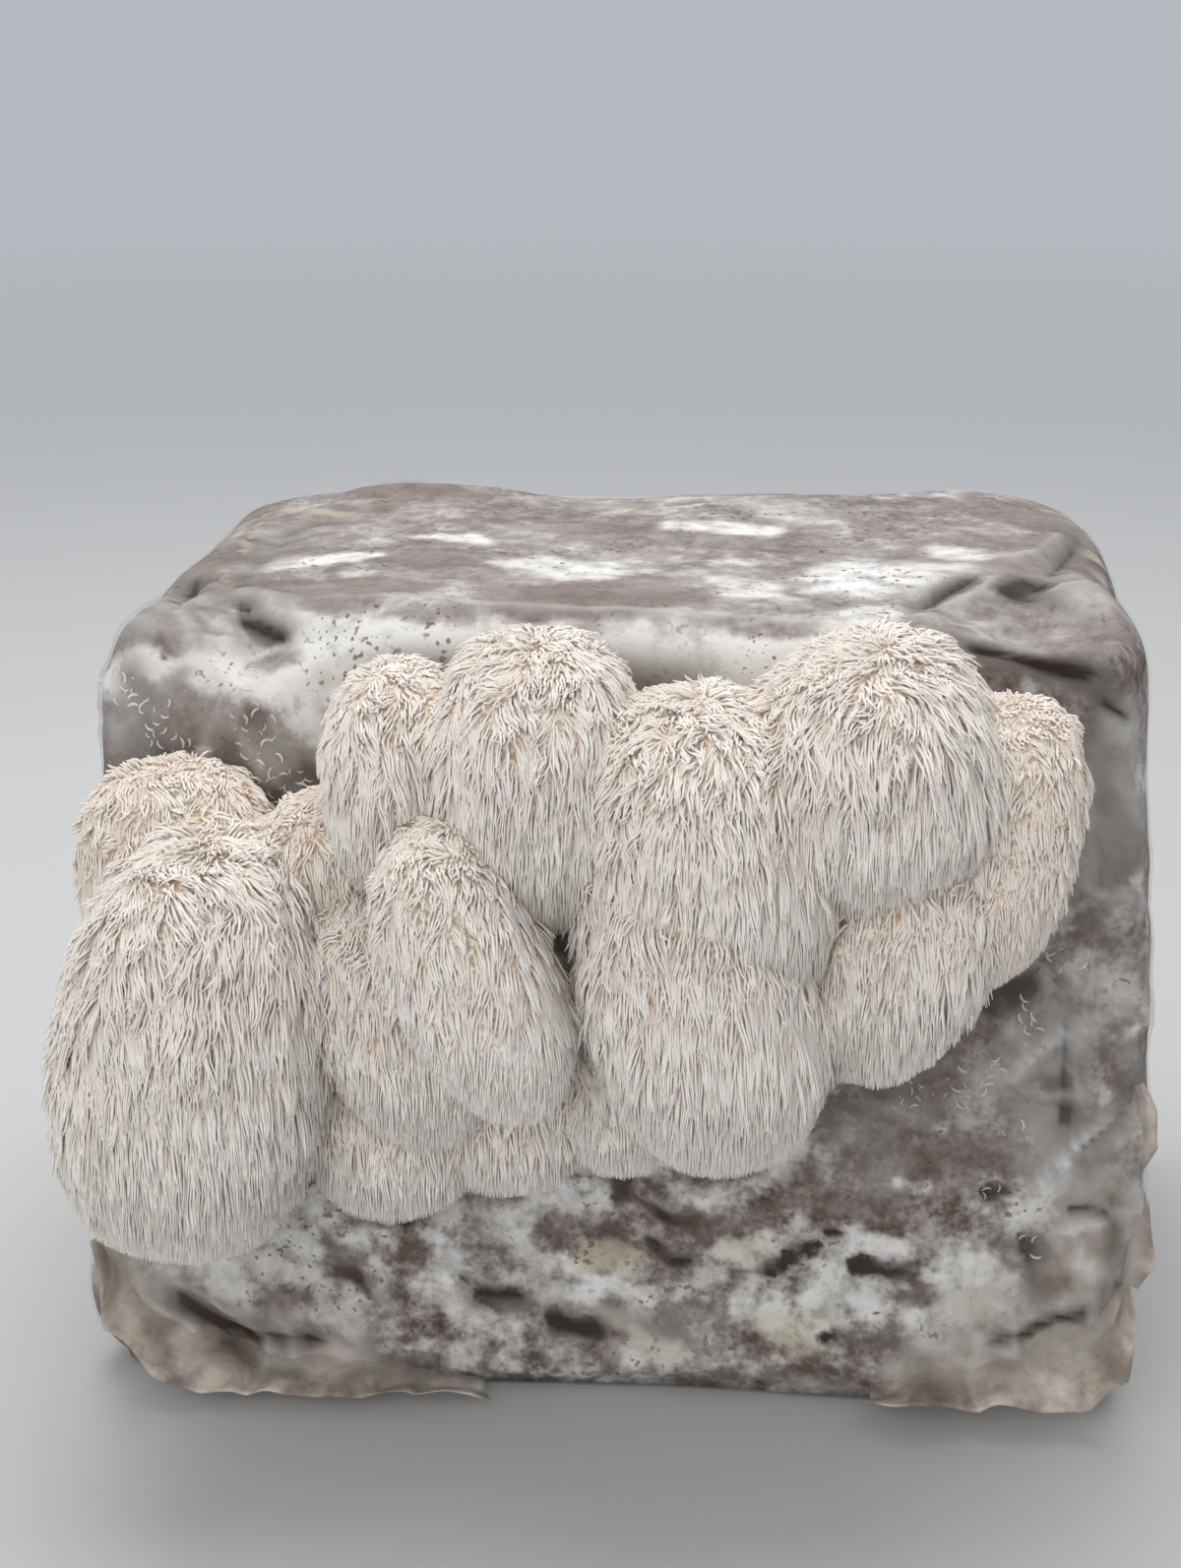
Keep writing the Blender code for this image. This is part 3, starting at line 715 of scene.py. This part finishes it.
def read(tree, name, kind="FLOAT"):
    """A named attribute of the geometry."""
    return tree.node("GeometryNodeInputNamedAttribute", {"data_type": kind}, (name,))


def keep(tree, geometry, name, value, kind="FLOAT", domain="POINT"):
    """The geometry with a value stored on it as a named attribute."""
    settings = {"data_type": kind, "domain": domain}
    return tree.node("GeometryNodeStoreNamedAttribute", settings, (geometry, True, name, value))


def new_geometry_tree(name, inputs):
    """Empty Geometry Nodes with the inputs named: the tree and its input node."""
    inner = bpy.data.node_groups.new(name, "GeometryNodeTree")
    inner.interface.new_socket("Geometry", in_out="INPUT", socket_type="NodeSocketGeometry")
    for word, kind in inputs.items():
        inner.interface.new_socket(word, in_out="INPUT", socket_type="NodeSocket" + kind)
    inner.interface.new_socket("Geometry", in_out="OUTPUT", socket_type="NodeSocketGeometry")
    tree = Tree(inner)
    return tree, tree.node("NodeGroupInput")


def grow(mesh, tree, values):
    """The plain mesh that Geometry Nodes make of a mesh."""
    grower = bpy.data.objects.new("grower", mesh)
    bpy.context.collection.objects.link(grower)
    modifier = grower.modifiers.new("nodes", "NODES")
    modifier.node_group = tree.inner
    sockets = {s.name: s.identifier for s in tree.inner.interface.items_tree if s.in_out == "INPUT"}
    for name, value in values.items():
        modifier[sockets[name]] = value
    grown = bpy.data.meshes.new_from_object(grower.evaluated_get(bpy.context.evaluated_depsgraph_get()))
    bpy.data.objects.remove(grower)
    return grown


FULL_TURN = 2 * math.pi
CRESCENT_SWEEP, CRESCENT_POINTS, CRESCENT_SIDES = 1.9, 9, 5
CRESCENT_SIZES = (0.35, 1.15)
CRESCENTS = {"Spacing": 1.6 * MM, "Radius": 1.4 * MM, "Seed": 3}
MOST_CRESCENTS = 1e6  # to the square metre, before the spacing thins them
curls, given = new_geometry_tree("small_crescents", {"Spacing": "Float", "Radius": "Float", "Seed": "Int"})
scatter = curls.node(
    "GeometryNodeDistributePointsOnFaces",
    {"distribute_method": "POISSON"},
    (given, True, given["Spacing"], MOST_CRESCENTS, read(curls, "curly"), given["Seed"]),
)
arc = curls.node("GeometryNodeCurveArc", None, (CRESCENT_POINTS, given["Radius"], 0.0, CRESCENT_SWEEP))
part_way = curls.node("GeometryNodeSplineParameter")["Factor"]
wall = (part_way * (1 - part_way) * 4) ** 0.6 * given["Radius"] * 0.2
ring = curls.node("GeometryNodeCurvePrimitiveCircle", None, (CRESCENT_SIDES, 1.0))
crescent = curls.node("GeometryNodeCurveToMesh", None, (arc, ring, wall, True))
turns = ((0, 0, 0), (0, 0, FULL_TURN))
chance = curls.node("FunctionNodeRandomValue", {"data_type": "FLOAT_VECTOR"}, turns)
in_its_own_plane = {"rotation_space": "LOCAL"}
turned = curls.node("FunctionNodeRotateRotation", in_its_own_plane, (scatter["Rotation"], chance))
sizes = curls.node("FunctionNodeRandomValue", {"data_type": "FLOAT"}, CRESCENT_SIZES)
copies = curls.node(
    "GeometryNodeInstanceOnPoints",
    None,
    {"Points": scatter, "Instance": crescent, "Rotation": turned, "Scale": sizes},
)
# Each crescent carries a painted highlight
copies = keep(curls, curls.node("GeometryNodeRealizeInstances", None, (copies,)), "shine", 1.0)
whole = curls.node("GeometryNodeJoinGeometry")
curls.inner.links.new(given.socket, whole.socket.node.inputs[0])
curls.inner.links.new(copies.socket, whole.socket.node.inputs[0])
whole = curls.node("GeometryNodeRealizeInstances", None, (whole,))
whole = curls.node("GeometryNodeSetMaterial", None, (whole, True, film_material))
curls.node("NodeGroupOutput", None, (whole,))
film_mesh = grow(film_mesh, curls, CRESCENTS)
show("film_bag", film_mesh, film_material, "film", "grow_bag")

# The stem.  White flesh that comes out of the slit in the film and carries every head.
SLIT_LOW, SLIT_HIGH = Vector((-72 * MM, 88 * MM)), Vector((66 * MM, 126 * MM))
STEM_HALF_HEIGHT = 10.8 * MM
STEM_BACK, STEM_FRONT = -73.6 * MM, -87 * MM
STEM_RINGS, STEM_SIDES = 14, 72


def stem_mesh():
    """A long low dome over the slit, flat at the back."""
    bm = bmesh.new()
    slope = (SLIT_HIGH - SLIT_LOW).normalized()
    rings = []
    for k in range(STEM_RINGS):
        turn = math.pi / 2 * k / (STEM_RINGS - 1)
        y = STEM_BACK + (STEM_FRONT - STEM_BACK) * math.sin(turn)
        ring = []
        for step in range(STEM_SIDES):
            angle = FULL_TURN * (step + 0.5) / STEM_SIDES
            end = SLIT_HIGH if math.cos(angle) > 0 else SLIT_LOW
            out = slope * math.cos(angle) + Vector((-slope.y, slope.x)) * math.sin(angle)
            at = end + out * STEM_HALF_HEIGHT * max(math.cos(turn), 0.02)
            ring.append(bm.verts.new((at.x, y, at.y)))
        rings.append(ring)
    for near, far in zip(rings, rings[1:]):
        for k in range(STEM_SIDES):
            n = (k + 1) % STEM_SIDES
            bm.faces.new((near[k], near[n], far[n], far[k]))
    bm.faces.new(list(reversed(rings[0])))
    bm.faces.new(rings[-1])
    bmesh.ops.recalc_face_normals(bm, faces=bm.faces)
    mesh = bpy.data.meshes.new("stem")
    bm.to_mesh(mesh)
    bm.free()
    return mesh


SPOTS, NUBS, PORES = 190.0, 950.0, 700.0  # noise scales, counts to the metre
BETWEEN_NUBS, NUB_PALE = (0.46, 0.35, 0.26), (0.84, 0.76, 0.67)
SPOT_ORANGE, PAINTED_LIGHT_FLESH = (0.56, 0.33, 0.18), (0.90, 0.865, 0.83)
LETS_LIGHT_IN = {"Subsurface Weight": 0.15, "Subsurface Scale": 2 * MM}
flesh_material, tree, shader = finish("flesh", {"Roughness": 0.6, **LETS_LIGHT_IN})
where = tree.node("ShaderNodeTexCoord")["Object"]
spots = tree.rise(tree.noise(where, SPOTS, 3.0, 0.6), 0.58, 0.72)
nubs = tree.rise(tree.noise(where, NUBS, 2.0, 0.5), 0.40, 0.60)
colour = tree.mix(nubs, BETWEEN_NUBS, NUB_PALE)
colour = tree.mix(spots, colour, SPOT_ORANGE)
# Painted light: the flesh under a head is painted paler, in place of light that fills the gaps between its
# spines
colour = tree.mix(tree.painted("painted_underside_light"), colour, PAINTED_LIGHT_FLESH)
tree.feed(shader.inputs["Base Color"], colour)
pores = {"Strength": 0.6, "Distance": 1 * MM, "Height": tree.noise(where, PORES)}
tree.feed(shader.inputs["Normal"], tree.node("ShaderNodeBump", None, pores))
show("stem_flesh", stem_mesh(), flesh_material, "stem_flesh", "stem")

# The heads.  Sixteen lobes of flesh, grown against each other along the slit, each
# covered in soft hanging spines, which are short and curly on top and long at the sides.
HEADS = {
    # centre and half sizes in mm, lean in degrees with the top towards -X, taper upwards
    "left_front_head": ((-79.5, -102, 91), (28.3, 33, 43.5), -10, 0.09),
    "left_rear_head": ((-86, -81, 118.5), (21.5, 19, 24), 0, 0.00),
    "left_gap_head": ((-56, -90, 125), (12, 17, 14), 0, 0.00),
    "left_middle_head": ((-38, -96, 97), (18, 24, 28), 20, 0.00),
    "low_left_head": ((-43, -88, 70), (19, 19, 19.5), 0, 0.00),
    "low_middle_head": ((-19, -88, 73.5), (16.5, 18, 17), 0, 0.00),
    "upper_left_head": ((-41, -90, 142), (14.5, 24, 23), 0, 0.00),
    "upper_middle_head": ((-13, -97, 145), (21, 30, 28), 0, 0.00),
    "front_middle_head": ((-22, -120, 113.5), (14.8, 21, 29.5), 25, 0.00),
    "centre_upper_head": ((20.5, -105, 134), (23, 31, 31), 17, 0.12),
    "centre_lower_head": ((19.3, -103, 107), (23.5, 35, 36), 17, 0.05),
    "low_centre_head": ((3, -90, 81), (14, 18, 19), 0, 0.00),
    "upper_gap_head": ((28, -88, 148), (11, 15, 12), 0, 0.00),
    "upper_right_head": ((50.5, -97, 148.5), (24.5, 34, 25), 24, 0.00),
    "right_rear_head": ((73.5, -92, 132.5), (16, 23, 29), -12, 0.00),
    "lower_right_head": ((55.5, -95, 114), (18.5, 27, 28), -24, 0.00),
}
ROUNDNESS = 2.3  # 2 would be an egg, more is squarer
HEAD_LUMP = 0.05
BLEND = 20.0  # how softly a head grows into its neighbours: less is softer
MOST_GROWN = 1.06
GROWING_STEPS, GROWING_PACE = 8, 0.8
USUAL_HALF, LEAST_SIZE, MOST_SIZE = 24, 0.62, 1.1  # of a head, mm and shares of it, for its spines
FREE_EDGE = 0.12  # how far inside a neighbour, as a share of it, a head's skin is no longer free
BUMP_HEIGHT = 0.5  # of the flesh, mm
BUMP_SPACING, SWIRL_SPACING = 5 * MM, 5 * MM
NEAR_FILM = 2.0 * MM
LEAST_FREE = 0.15  # how free skin has to be for spines to grow on it
LEAST_CROWD = 0.35  # share of the spines that grow on a side turned to the film
HANGS_FROM, HANGS_OVER = 0.15, 0.5  # upward part of the skin's normal where spines begin to hang
FILM_FRONT = -74.6 * MM
FILM_SIDE = 106 * MM
# How the spines change from the underside of a head, -1, over its sides to its top, 1
ZONE = (-1.0, -0.6, -0.3, 0.0, 0.3, 0.6, 0.85, 1.0)
INSET = (4.2, 3.6, 2.9, 2.3, 1.9, 1.5, 1.2, 1.1)  # flesh below the tips' outline, mm
REACH = (4.4, 5.2, 6.6, 8.4, 7.8, 5.8, 4.2, 3.6)  # length of a spine, mm
STAND = (0.0, 0.1, 0.25, 0.6, 0.8, 0.8, 0.8, 0.8)  # how far it stands off the flesh, mm
CURL = (0.1, 0.2, 0.5, 1.2, 1.9, 2.3, 2.4, 2.4)  # how far it wanders, mm
TUFTED = (0.0, 0.1, 0.4, 1.1, 1.5, 1.4, 1.2, 1.0)  # how far a whole tuft leans, mm
GATHER = (0.0, 0.1, 0.30, 0.55, 0.60, 0.50, 0.40, 0.30)  # how much it joins its tuft
RAGGED = (0.10, 0.15, 0.35, 0.8, 1.0, 1.0, 1.0, 1.0)  # how much lengths differ
THICK = (0.18, 0.19, 0.21, 0.25, 0.29, 0.32, 0.34, 0.35)  # its radius, mm
CROWD = (0.92, 0.92, 0.86, 0.74, 0.69, 0.70, 0.76, 0.82)  # share of the most there is room for
LAID = (0.0, 0.0, 0.1, 0.5, 0.9, 1.0, 1.0, 1.0)  # how closely it follows the flesh
BENDS = (3, 3, 3, 4, 5, 5, 5, 5)  # points along it
SWIRL = (0.0, 0.0, 0.0, 0.15, 0.40, 0.8, 1.3, 1.7)  # how far its direction strays from downhill
SIDEWAYS_LOST = 0.65  # share of a spine's run to the side that it loses in favour of down
FINE_HEADS = ("left_rear_head", "left_gap_head", "right_rear_head", "upper_gap_head")
FINE = 0.7  # length of the spines on those, of what the others have


def head_turn(lean):
    """A head's lean as a matrix."""
    return np.array(Matrix.Rotation(math.radians(lean), 3, "Y"))


def head_share(name, points):
    """0 at a head's centre, 1 on its outline and more outside."""
    centre, half, lean, taper = HEADS[name]
    local = (points / MM - np.array(centre)) @ head_turn(lean).T
    z = local[:, 2] / half[2]
    x = local[:, 0] / (half[0] * (1 - taper * np.clip(z, -1, 1)))
    y = local[:, 1] / half[1]
    return (abs(x) ** ROUNDNESS + abs(y) ** ROUNDNESS + abs(z) ** ROUNDNESS) ** (1 / ROUNDNESS)


def grown_together(name, points):
    """Moves a head's outline out to where it has grown into its neighbours."""
    middle = np.array(HEADS[name][0]) * MM
    start = points - middle
    size = np.ones(len(points))
    for _ in range(GROWING_STEPS):
        at = middle + start * size[:, None]
        near = sum(np.exp(-BLEND * head_share(other, at)) for other in HEADS)
        size = np.clip(size * (-BLEND / np.log(near)) ** GROWING_PACE, 1.0, MOST_GROWN)
    return middle + start * size[:, None]


def head_flesh(name):
    """A head's flesh, with what its spines need to know painted on its points."""
    centre, half, lean, taper = HEADS[name]
    bm = bmesh.new()
    bmesh.ops.create_icosphere(bm, subdivisions=5, radius=1.0)
    lump_shift = Vector(centre) * MM * 100
    for vert in bm.verts:
        lump = noise.noise(vert.co * 1.7 + lump_shift)
        squarer = sum(abs(a) ** ROUNDNESS for a in vert.co) ** (-1 / ROUNDNESS)
        x, y, z = vert.co * squarer * (1 + HEAD_LUMP * lump)
        narrow = 1 - taper * max(-1.0, min(1.0, z))
        vert.co = (x * half[0] * narrow, y * half[1], z * half[2])
    mesh = bpy.data.meshes.new(name)
    bm.to_mesh(mesh)
    bm.free()
    points = (points_of(mesh) @ head_turn(lean) + np.array(centre)) * MM
    points = grown_together(name, points)
    set_points(mesh, points)
    out = normals_of(mesh)
    steep = out[:, 2]
    height = ((points / MM - np.array(centre)) @ head_turn(lean).T)[:, 2] / half[2]
    zone = np.clip(0.5 * (steep + height), -1, 1)
    others = np.min([head_share(other, points) for other in HEADS if other != name], axis=0)
    free = np.clip((others - head_share(name, points)) / FREE_EDGE + 1.0, 0, 1)
    behind = (points[:, 1] > FILM_FRONT - NEAR_FILM) & (np.abs(points[:, 0]) < FILM_SIDE)
    free[behind] = 0.0
    size = np.clip(min(half) / USUAL_HALF, LEAST_SIZE, MOST_SIZE)
    fine = FINE if name in FINE_HEADS else 1.0
    inset = np.interp(zone, ZONE, INSET) * size
    bumps = ground_noise(points, BUMP_SPACING, 4.0) * BUMP_HEIGHT
    points = points - out * (inset + bumps)[:, None] * MM
    points[:, 1] = np.minimum(points[:, 1], FILM_FRONT)
    set_points(mesh, points)
    down = np.array([0.0, 0.0, -1.0])
    stray = wander(points, SWIRL_SPACING)
    stray = (stray - out * np.sum(stray * out, axis=1)[:, None]) * np.interp(zone, ZONE, SWIRL)[:, None]
    slope = down + out * steep[:, None]
    sideways = slope[:, 0] * SIDEWAYS_LOST * np.clip(-out[:, 1] * 1.5, 0, 1)
    slope[:, 0] -= sideways
    slope[:, 1] += sideways * out[:, 0] / np.minimum(out[:, 1], -0.3)
    slope = slope / (np.linalg.norm(slope, axis=1)[:, None] + 0.1) + stray
    slope /= np.linalg.norm(slope, axis=1)[:, None] + 1e-6
    hang = np.clip((HANGS_FROM - steep) / HANGS_OVER, 0, 1)[:, None]
    flow = slope * (1 - hang) + down * hang
    flow /= np.linalg.norm(flow, axis=1)[:, None] + 1e-6
    for word, numbers in (("out", out), ("flow", flow)):
        mesh.attributes.new(word, "FLOAT_VECTOR", "POINT").data.foreach_set("vector", numbers.ravel())
    paint(mesh, "reach", np.interp(zone, ZONE, REACH) * size * fine * (0.6 + 0.4 * free) * MM)
    paint(mesh, "stand", np.interp(zone, ZONE, STAND) * size * fine * MM)
    paint(mesh, "curl", np.interp(zone, ZONE, CURL) * size * fine * MM)
    paint(mesh, "gather", np.interp(zone, ZONE, GATHER))
    paint(mesh, "tufted", np.interp(zone, ZONE, TUFTED) * size * MM)
    paint(mesh, "ragged", np.interp(zone, ZONE, RAGGED))
    paint(mesh, "thick", np.interp(zone, ZONE, THICK) * MM)
    paint(mesh, "laid", np.interp(zone, ZONE, LAID) / (2 * np.mean(half) * MM))
    seen = np.clip(1.2 - 1.6 * out[:, 1], LEAST_CROWD, 1)
    paint(mesh, "crowd", np.interp(zone, ZONE, CROWD) * (free > LEAST_FREE) * seen)
    # Painted light: roots and flesh on a head's underside are painted paler, in place of light that fills
    # the gaps between spines there
    paint(mesh, "painted_underside_light", np.clip(0.05 - zone * 1.4, 0, 1))
    paint(mesh, "bends", np.interp(zone, ZONE, BENDS) + 0.5)
    # Partly the spines' own tint and partly painted light: warmer towards the tops, and warmer and darker
    # where a head meets its neighbours, as painted shade in those creases
    warm = 0.15 + 0.30 * np.clip(zone, 0, 1) + 0.35 * (1 - free)
    warm += 0.35 * (name in FINE_HEADS)
    paint(mesh, "warm", np.clip(warm, 0, 1))
    return mesh


MOST_SPINES = 6e6  # to the square metre, before the spacing thins them
SPINE_SIDES = 3
TIP_TAPER = 0.72  # what a spine loses of its width at the tip
OFF_THE_FILM = 0.3 * MM
WAVES, WAVE_RUN, WAVE_SPREAD = 330.0, 0.007, 0.003  # noise scale, and metres that it drifts


def spine_tree(material):
    """Scatters spines over flesh and bends each one down from its root."""
    inputs = {"Spacing": "Float", "Tuft Size": "Float", "Seed": "Int"}
    tree, given = new_geometry_tree("hanging_spines", inputs)
    scatter = tree.node(
        "GeometryNodeDistributePointsOnFaces",
        {"distribute_method": "POISSON"},
        (given, True, given["Spacing"], MOST_SPINES, read(tree, "crowd"), given["Seed"]),
    )
    place = tree.node("GeometryNodeInputPosition")
    roots = keep(tree, scatter, "root", place, "FLOAT_VECTOR")
    cell_scale = tree.node("ShaderNodeMath", {"operation": "DIVIDE"}, (1.0, given["Tuft Size"]))
    tuft = tree.node("ShaderNodeTexVoronoi", None, {"Vector": place, "Scale": cell_scale})
    roots = keep(tree, roots, "tuft", tuft["Position"], "FLOAT_VECTOR")
    roots = keep(tree, roots, "tuft_chance", tuft["Color"], "FLOAT_VECTOR")
    roots = keep(tree, roots, "chance", tree.node("FunctionNodeRandomValue", {"data_type": "FLOAT"}))
    line = tree.node("GeometryNodeCurvePrimitiveLine", None, ((0, 0, 0), (0, 0, 0.001)))
    copies = tree.node("GeometryNodeInstanceOnPoints", None, {"Points": roots, "Instance": line})
    strands = tree.node("GeometryNodeRealizeInstances", None, (copies,))
    strands = tree.node("GeometryNodeResampleCurve", None, (strands, True, read(tree, "bends")))

    along = tree.node("GeometryNodeSplineParameter")["Factor"]
    chance = read(tree, "chance")
    root, tuft_middle = read(tree, "root", "FLOAT_VECTOR"), read(tree, "tuft", "FLOAT_VECTOR")
    out, flow = read(tree, "out", "FLOAT_VECTOR"), read(tree, "flow", "FLOAT_VECTOR")
    tuft_lean = read(tree, "tuft_chance", "FLOAT_VECTOR") - 0.5
    split = tree.node("ShaderNodeSeparateXYZ", None, (tuft_lean,))
    ragged = read(tree, "ragged")
    length = read(tree, "reach") * (1 + ragged * (0.55 * split["X"] + 0.4 * (chance - 0.5)))
    run = length * along**1.2
    stood = read(tree, "stand") * (1 + ragged * 1.2 * split["Y"]) * (1 - (1 - along) ** 2.2)
    bent = out * (stood - read(tree, "laid") * run * run)
    joined = (tuft_middle - root) * (read(tree, "gather") * (0.6 + 0.5 * chance) * along**1.4)
    swayed = tuft_lean * (read(tree, "tufted") * along**1.4 * 2)
    wave_place = root + flow * (along * WAVE_RUN) + chance * WAVE_SPREAD
    wave_noise = tree.noise(wave_place, WAVES, 1.0, 0.5)["Color"] - 0.5
    waved = wave_noise * (read(tree, "curl") * along * 1.6)
    path = root + bent + flow * run + joined + swayed + waved
    parts = tree.node("ShaderNodeSeparateXYZ", None, (path,))
    front = tree.node("ShaderNodeMath", {"operation": "MINIMUM"}, (parts["Y"], FILM_FRONT - OFF_THE_FILM))
    path = tree.node("ShaderNodeCombineXYZ", None, (parts["X"], front, parts["Z"]))
    strands = tree.node("GeometryNodeSetPosition", None, (strands, True, path))
    strands = keep(tree, strands, "along", along)
    radius = read(tree, "thick") * ((1 - TIP_TAPER * along**4) * (0.8 + 0.4 * chance))
    profile = tree.node("GeometryNodeCurvePrimitiveCircle", None, (SPINE_SIDES, 1.0))
    solid = tree.node("GeometryNodeCurveToMesh", None, (strands, profile, radius, True))
    tint = read(tree, "warm") * 0.75 + chance * 0.25
    # Painted light: roots on the underside are painted paler
    painted_underside_light = read(tree, "painted_underside_light") * 0.55
    paleness = read(tree, "along") * (1 - painted_underside_light) + painted_underside_light
    shade_place = tree.node("ShaderNodeCombineXYZ", None, (tint, paleness, 0.0))
    solid = keep(tree, solid, "OFBake", shade_place, "FLOAT2", "CORNER")
    solid = tree.node("GeometryNodeRealizeInstances", None, (solid,))
    solid = tree.node("GeometryNodeSetMaterial", None, (solid, True, material))
    tree.node("NodeGroupOutput", None, (solid,))
    return tree


SPINE_COOL, SPINE_WARM = (0.91, 0.875, 0.835), (0.92, 0.83, 0.74)
ROOT_COOL, ROOT_WARM = (0.82, 0.745, 0.68), (0.80, 0.65, 0.52)
spine_material, tree, shader = finish("spines", {"Roughness": 0.55, "Specular IOR Level": 0.3})
place = tree.node("ShaderNodeUVMap", {"uv_map": "OFBake"})
split = tree.node("ShaderNodeSeparateXYZ", None, (place,))
towards_tip = tree.rise(split["Y"], -0.05, 0.55)
tip_colour = tree.mix(split["X"], SPINE_COOL, SPINE_WARM)
root_colour = tree.mix(split["X"], ROOT_COOL, ROOT_WARM)
tree.feed(shader.inputs["Base Color"], tree.mix(towards_tip, root_colour, tip_colour))

SPINE_SPACING = 0.60 * MM
TUFT_SIZE = 3.2 * MM
# What is painted on the flesh for its spines, and taken off it once they have grown
ONLY_FOR_SPINES = (
    "out", "flow", "reach", "stand", "curl", "gather", "tufted", "ragged", "thick", "laid", "crowd",
    "bends", "warm",
)
spines = spine_tree(spine_material)
for seed, name in enumerate(HEADS):
    flesh = head_flesh(name)
    values = {"Spacing": SPINE_SPACING, "Tuft Size": TUFT_SIZE, "Seed": seed}
    spine_mesh = grow(flesh.copy(), spines, values)
    for word in ONLY_FOR_SPINES:
        flesh.attributes.remove(flesh.attributes[word])
    show(name + "_flesh", flesh, flesh_material, "spines", name)
    show(name + "_spines", spine_mesh, spine_material, "spines")
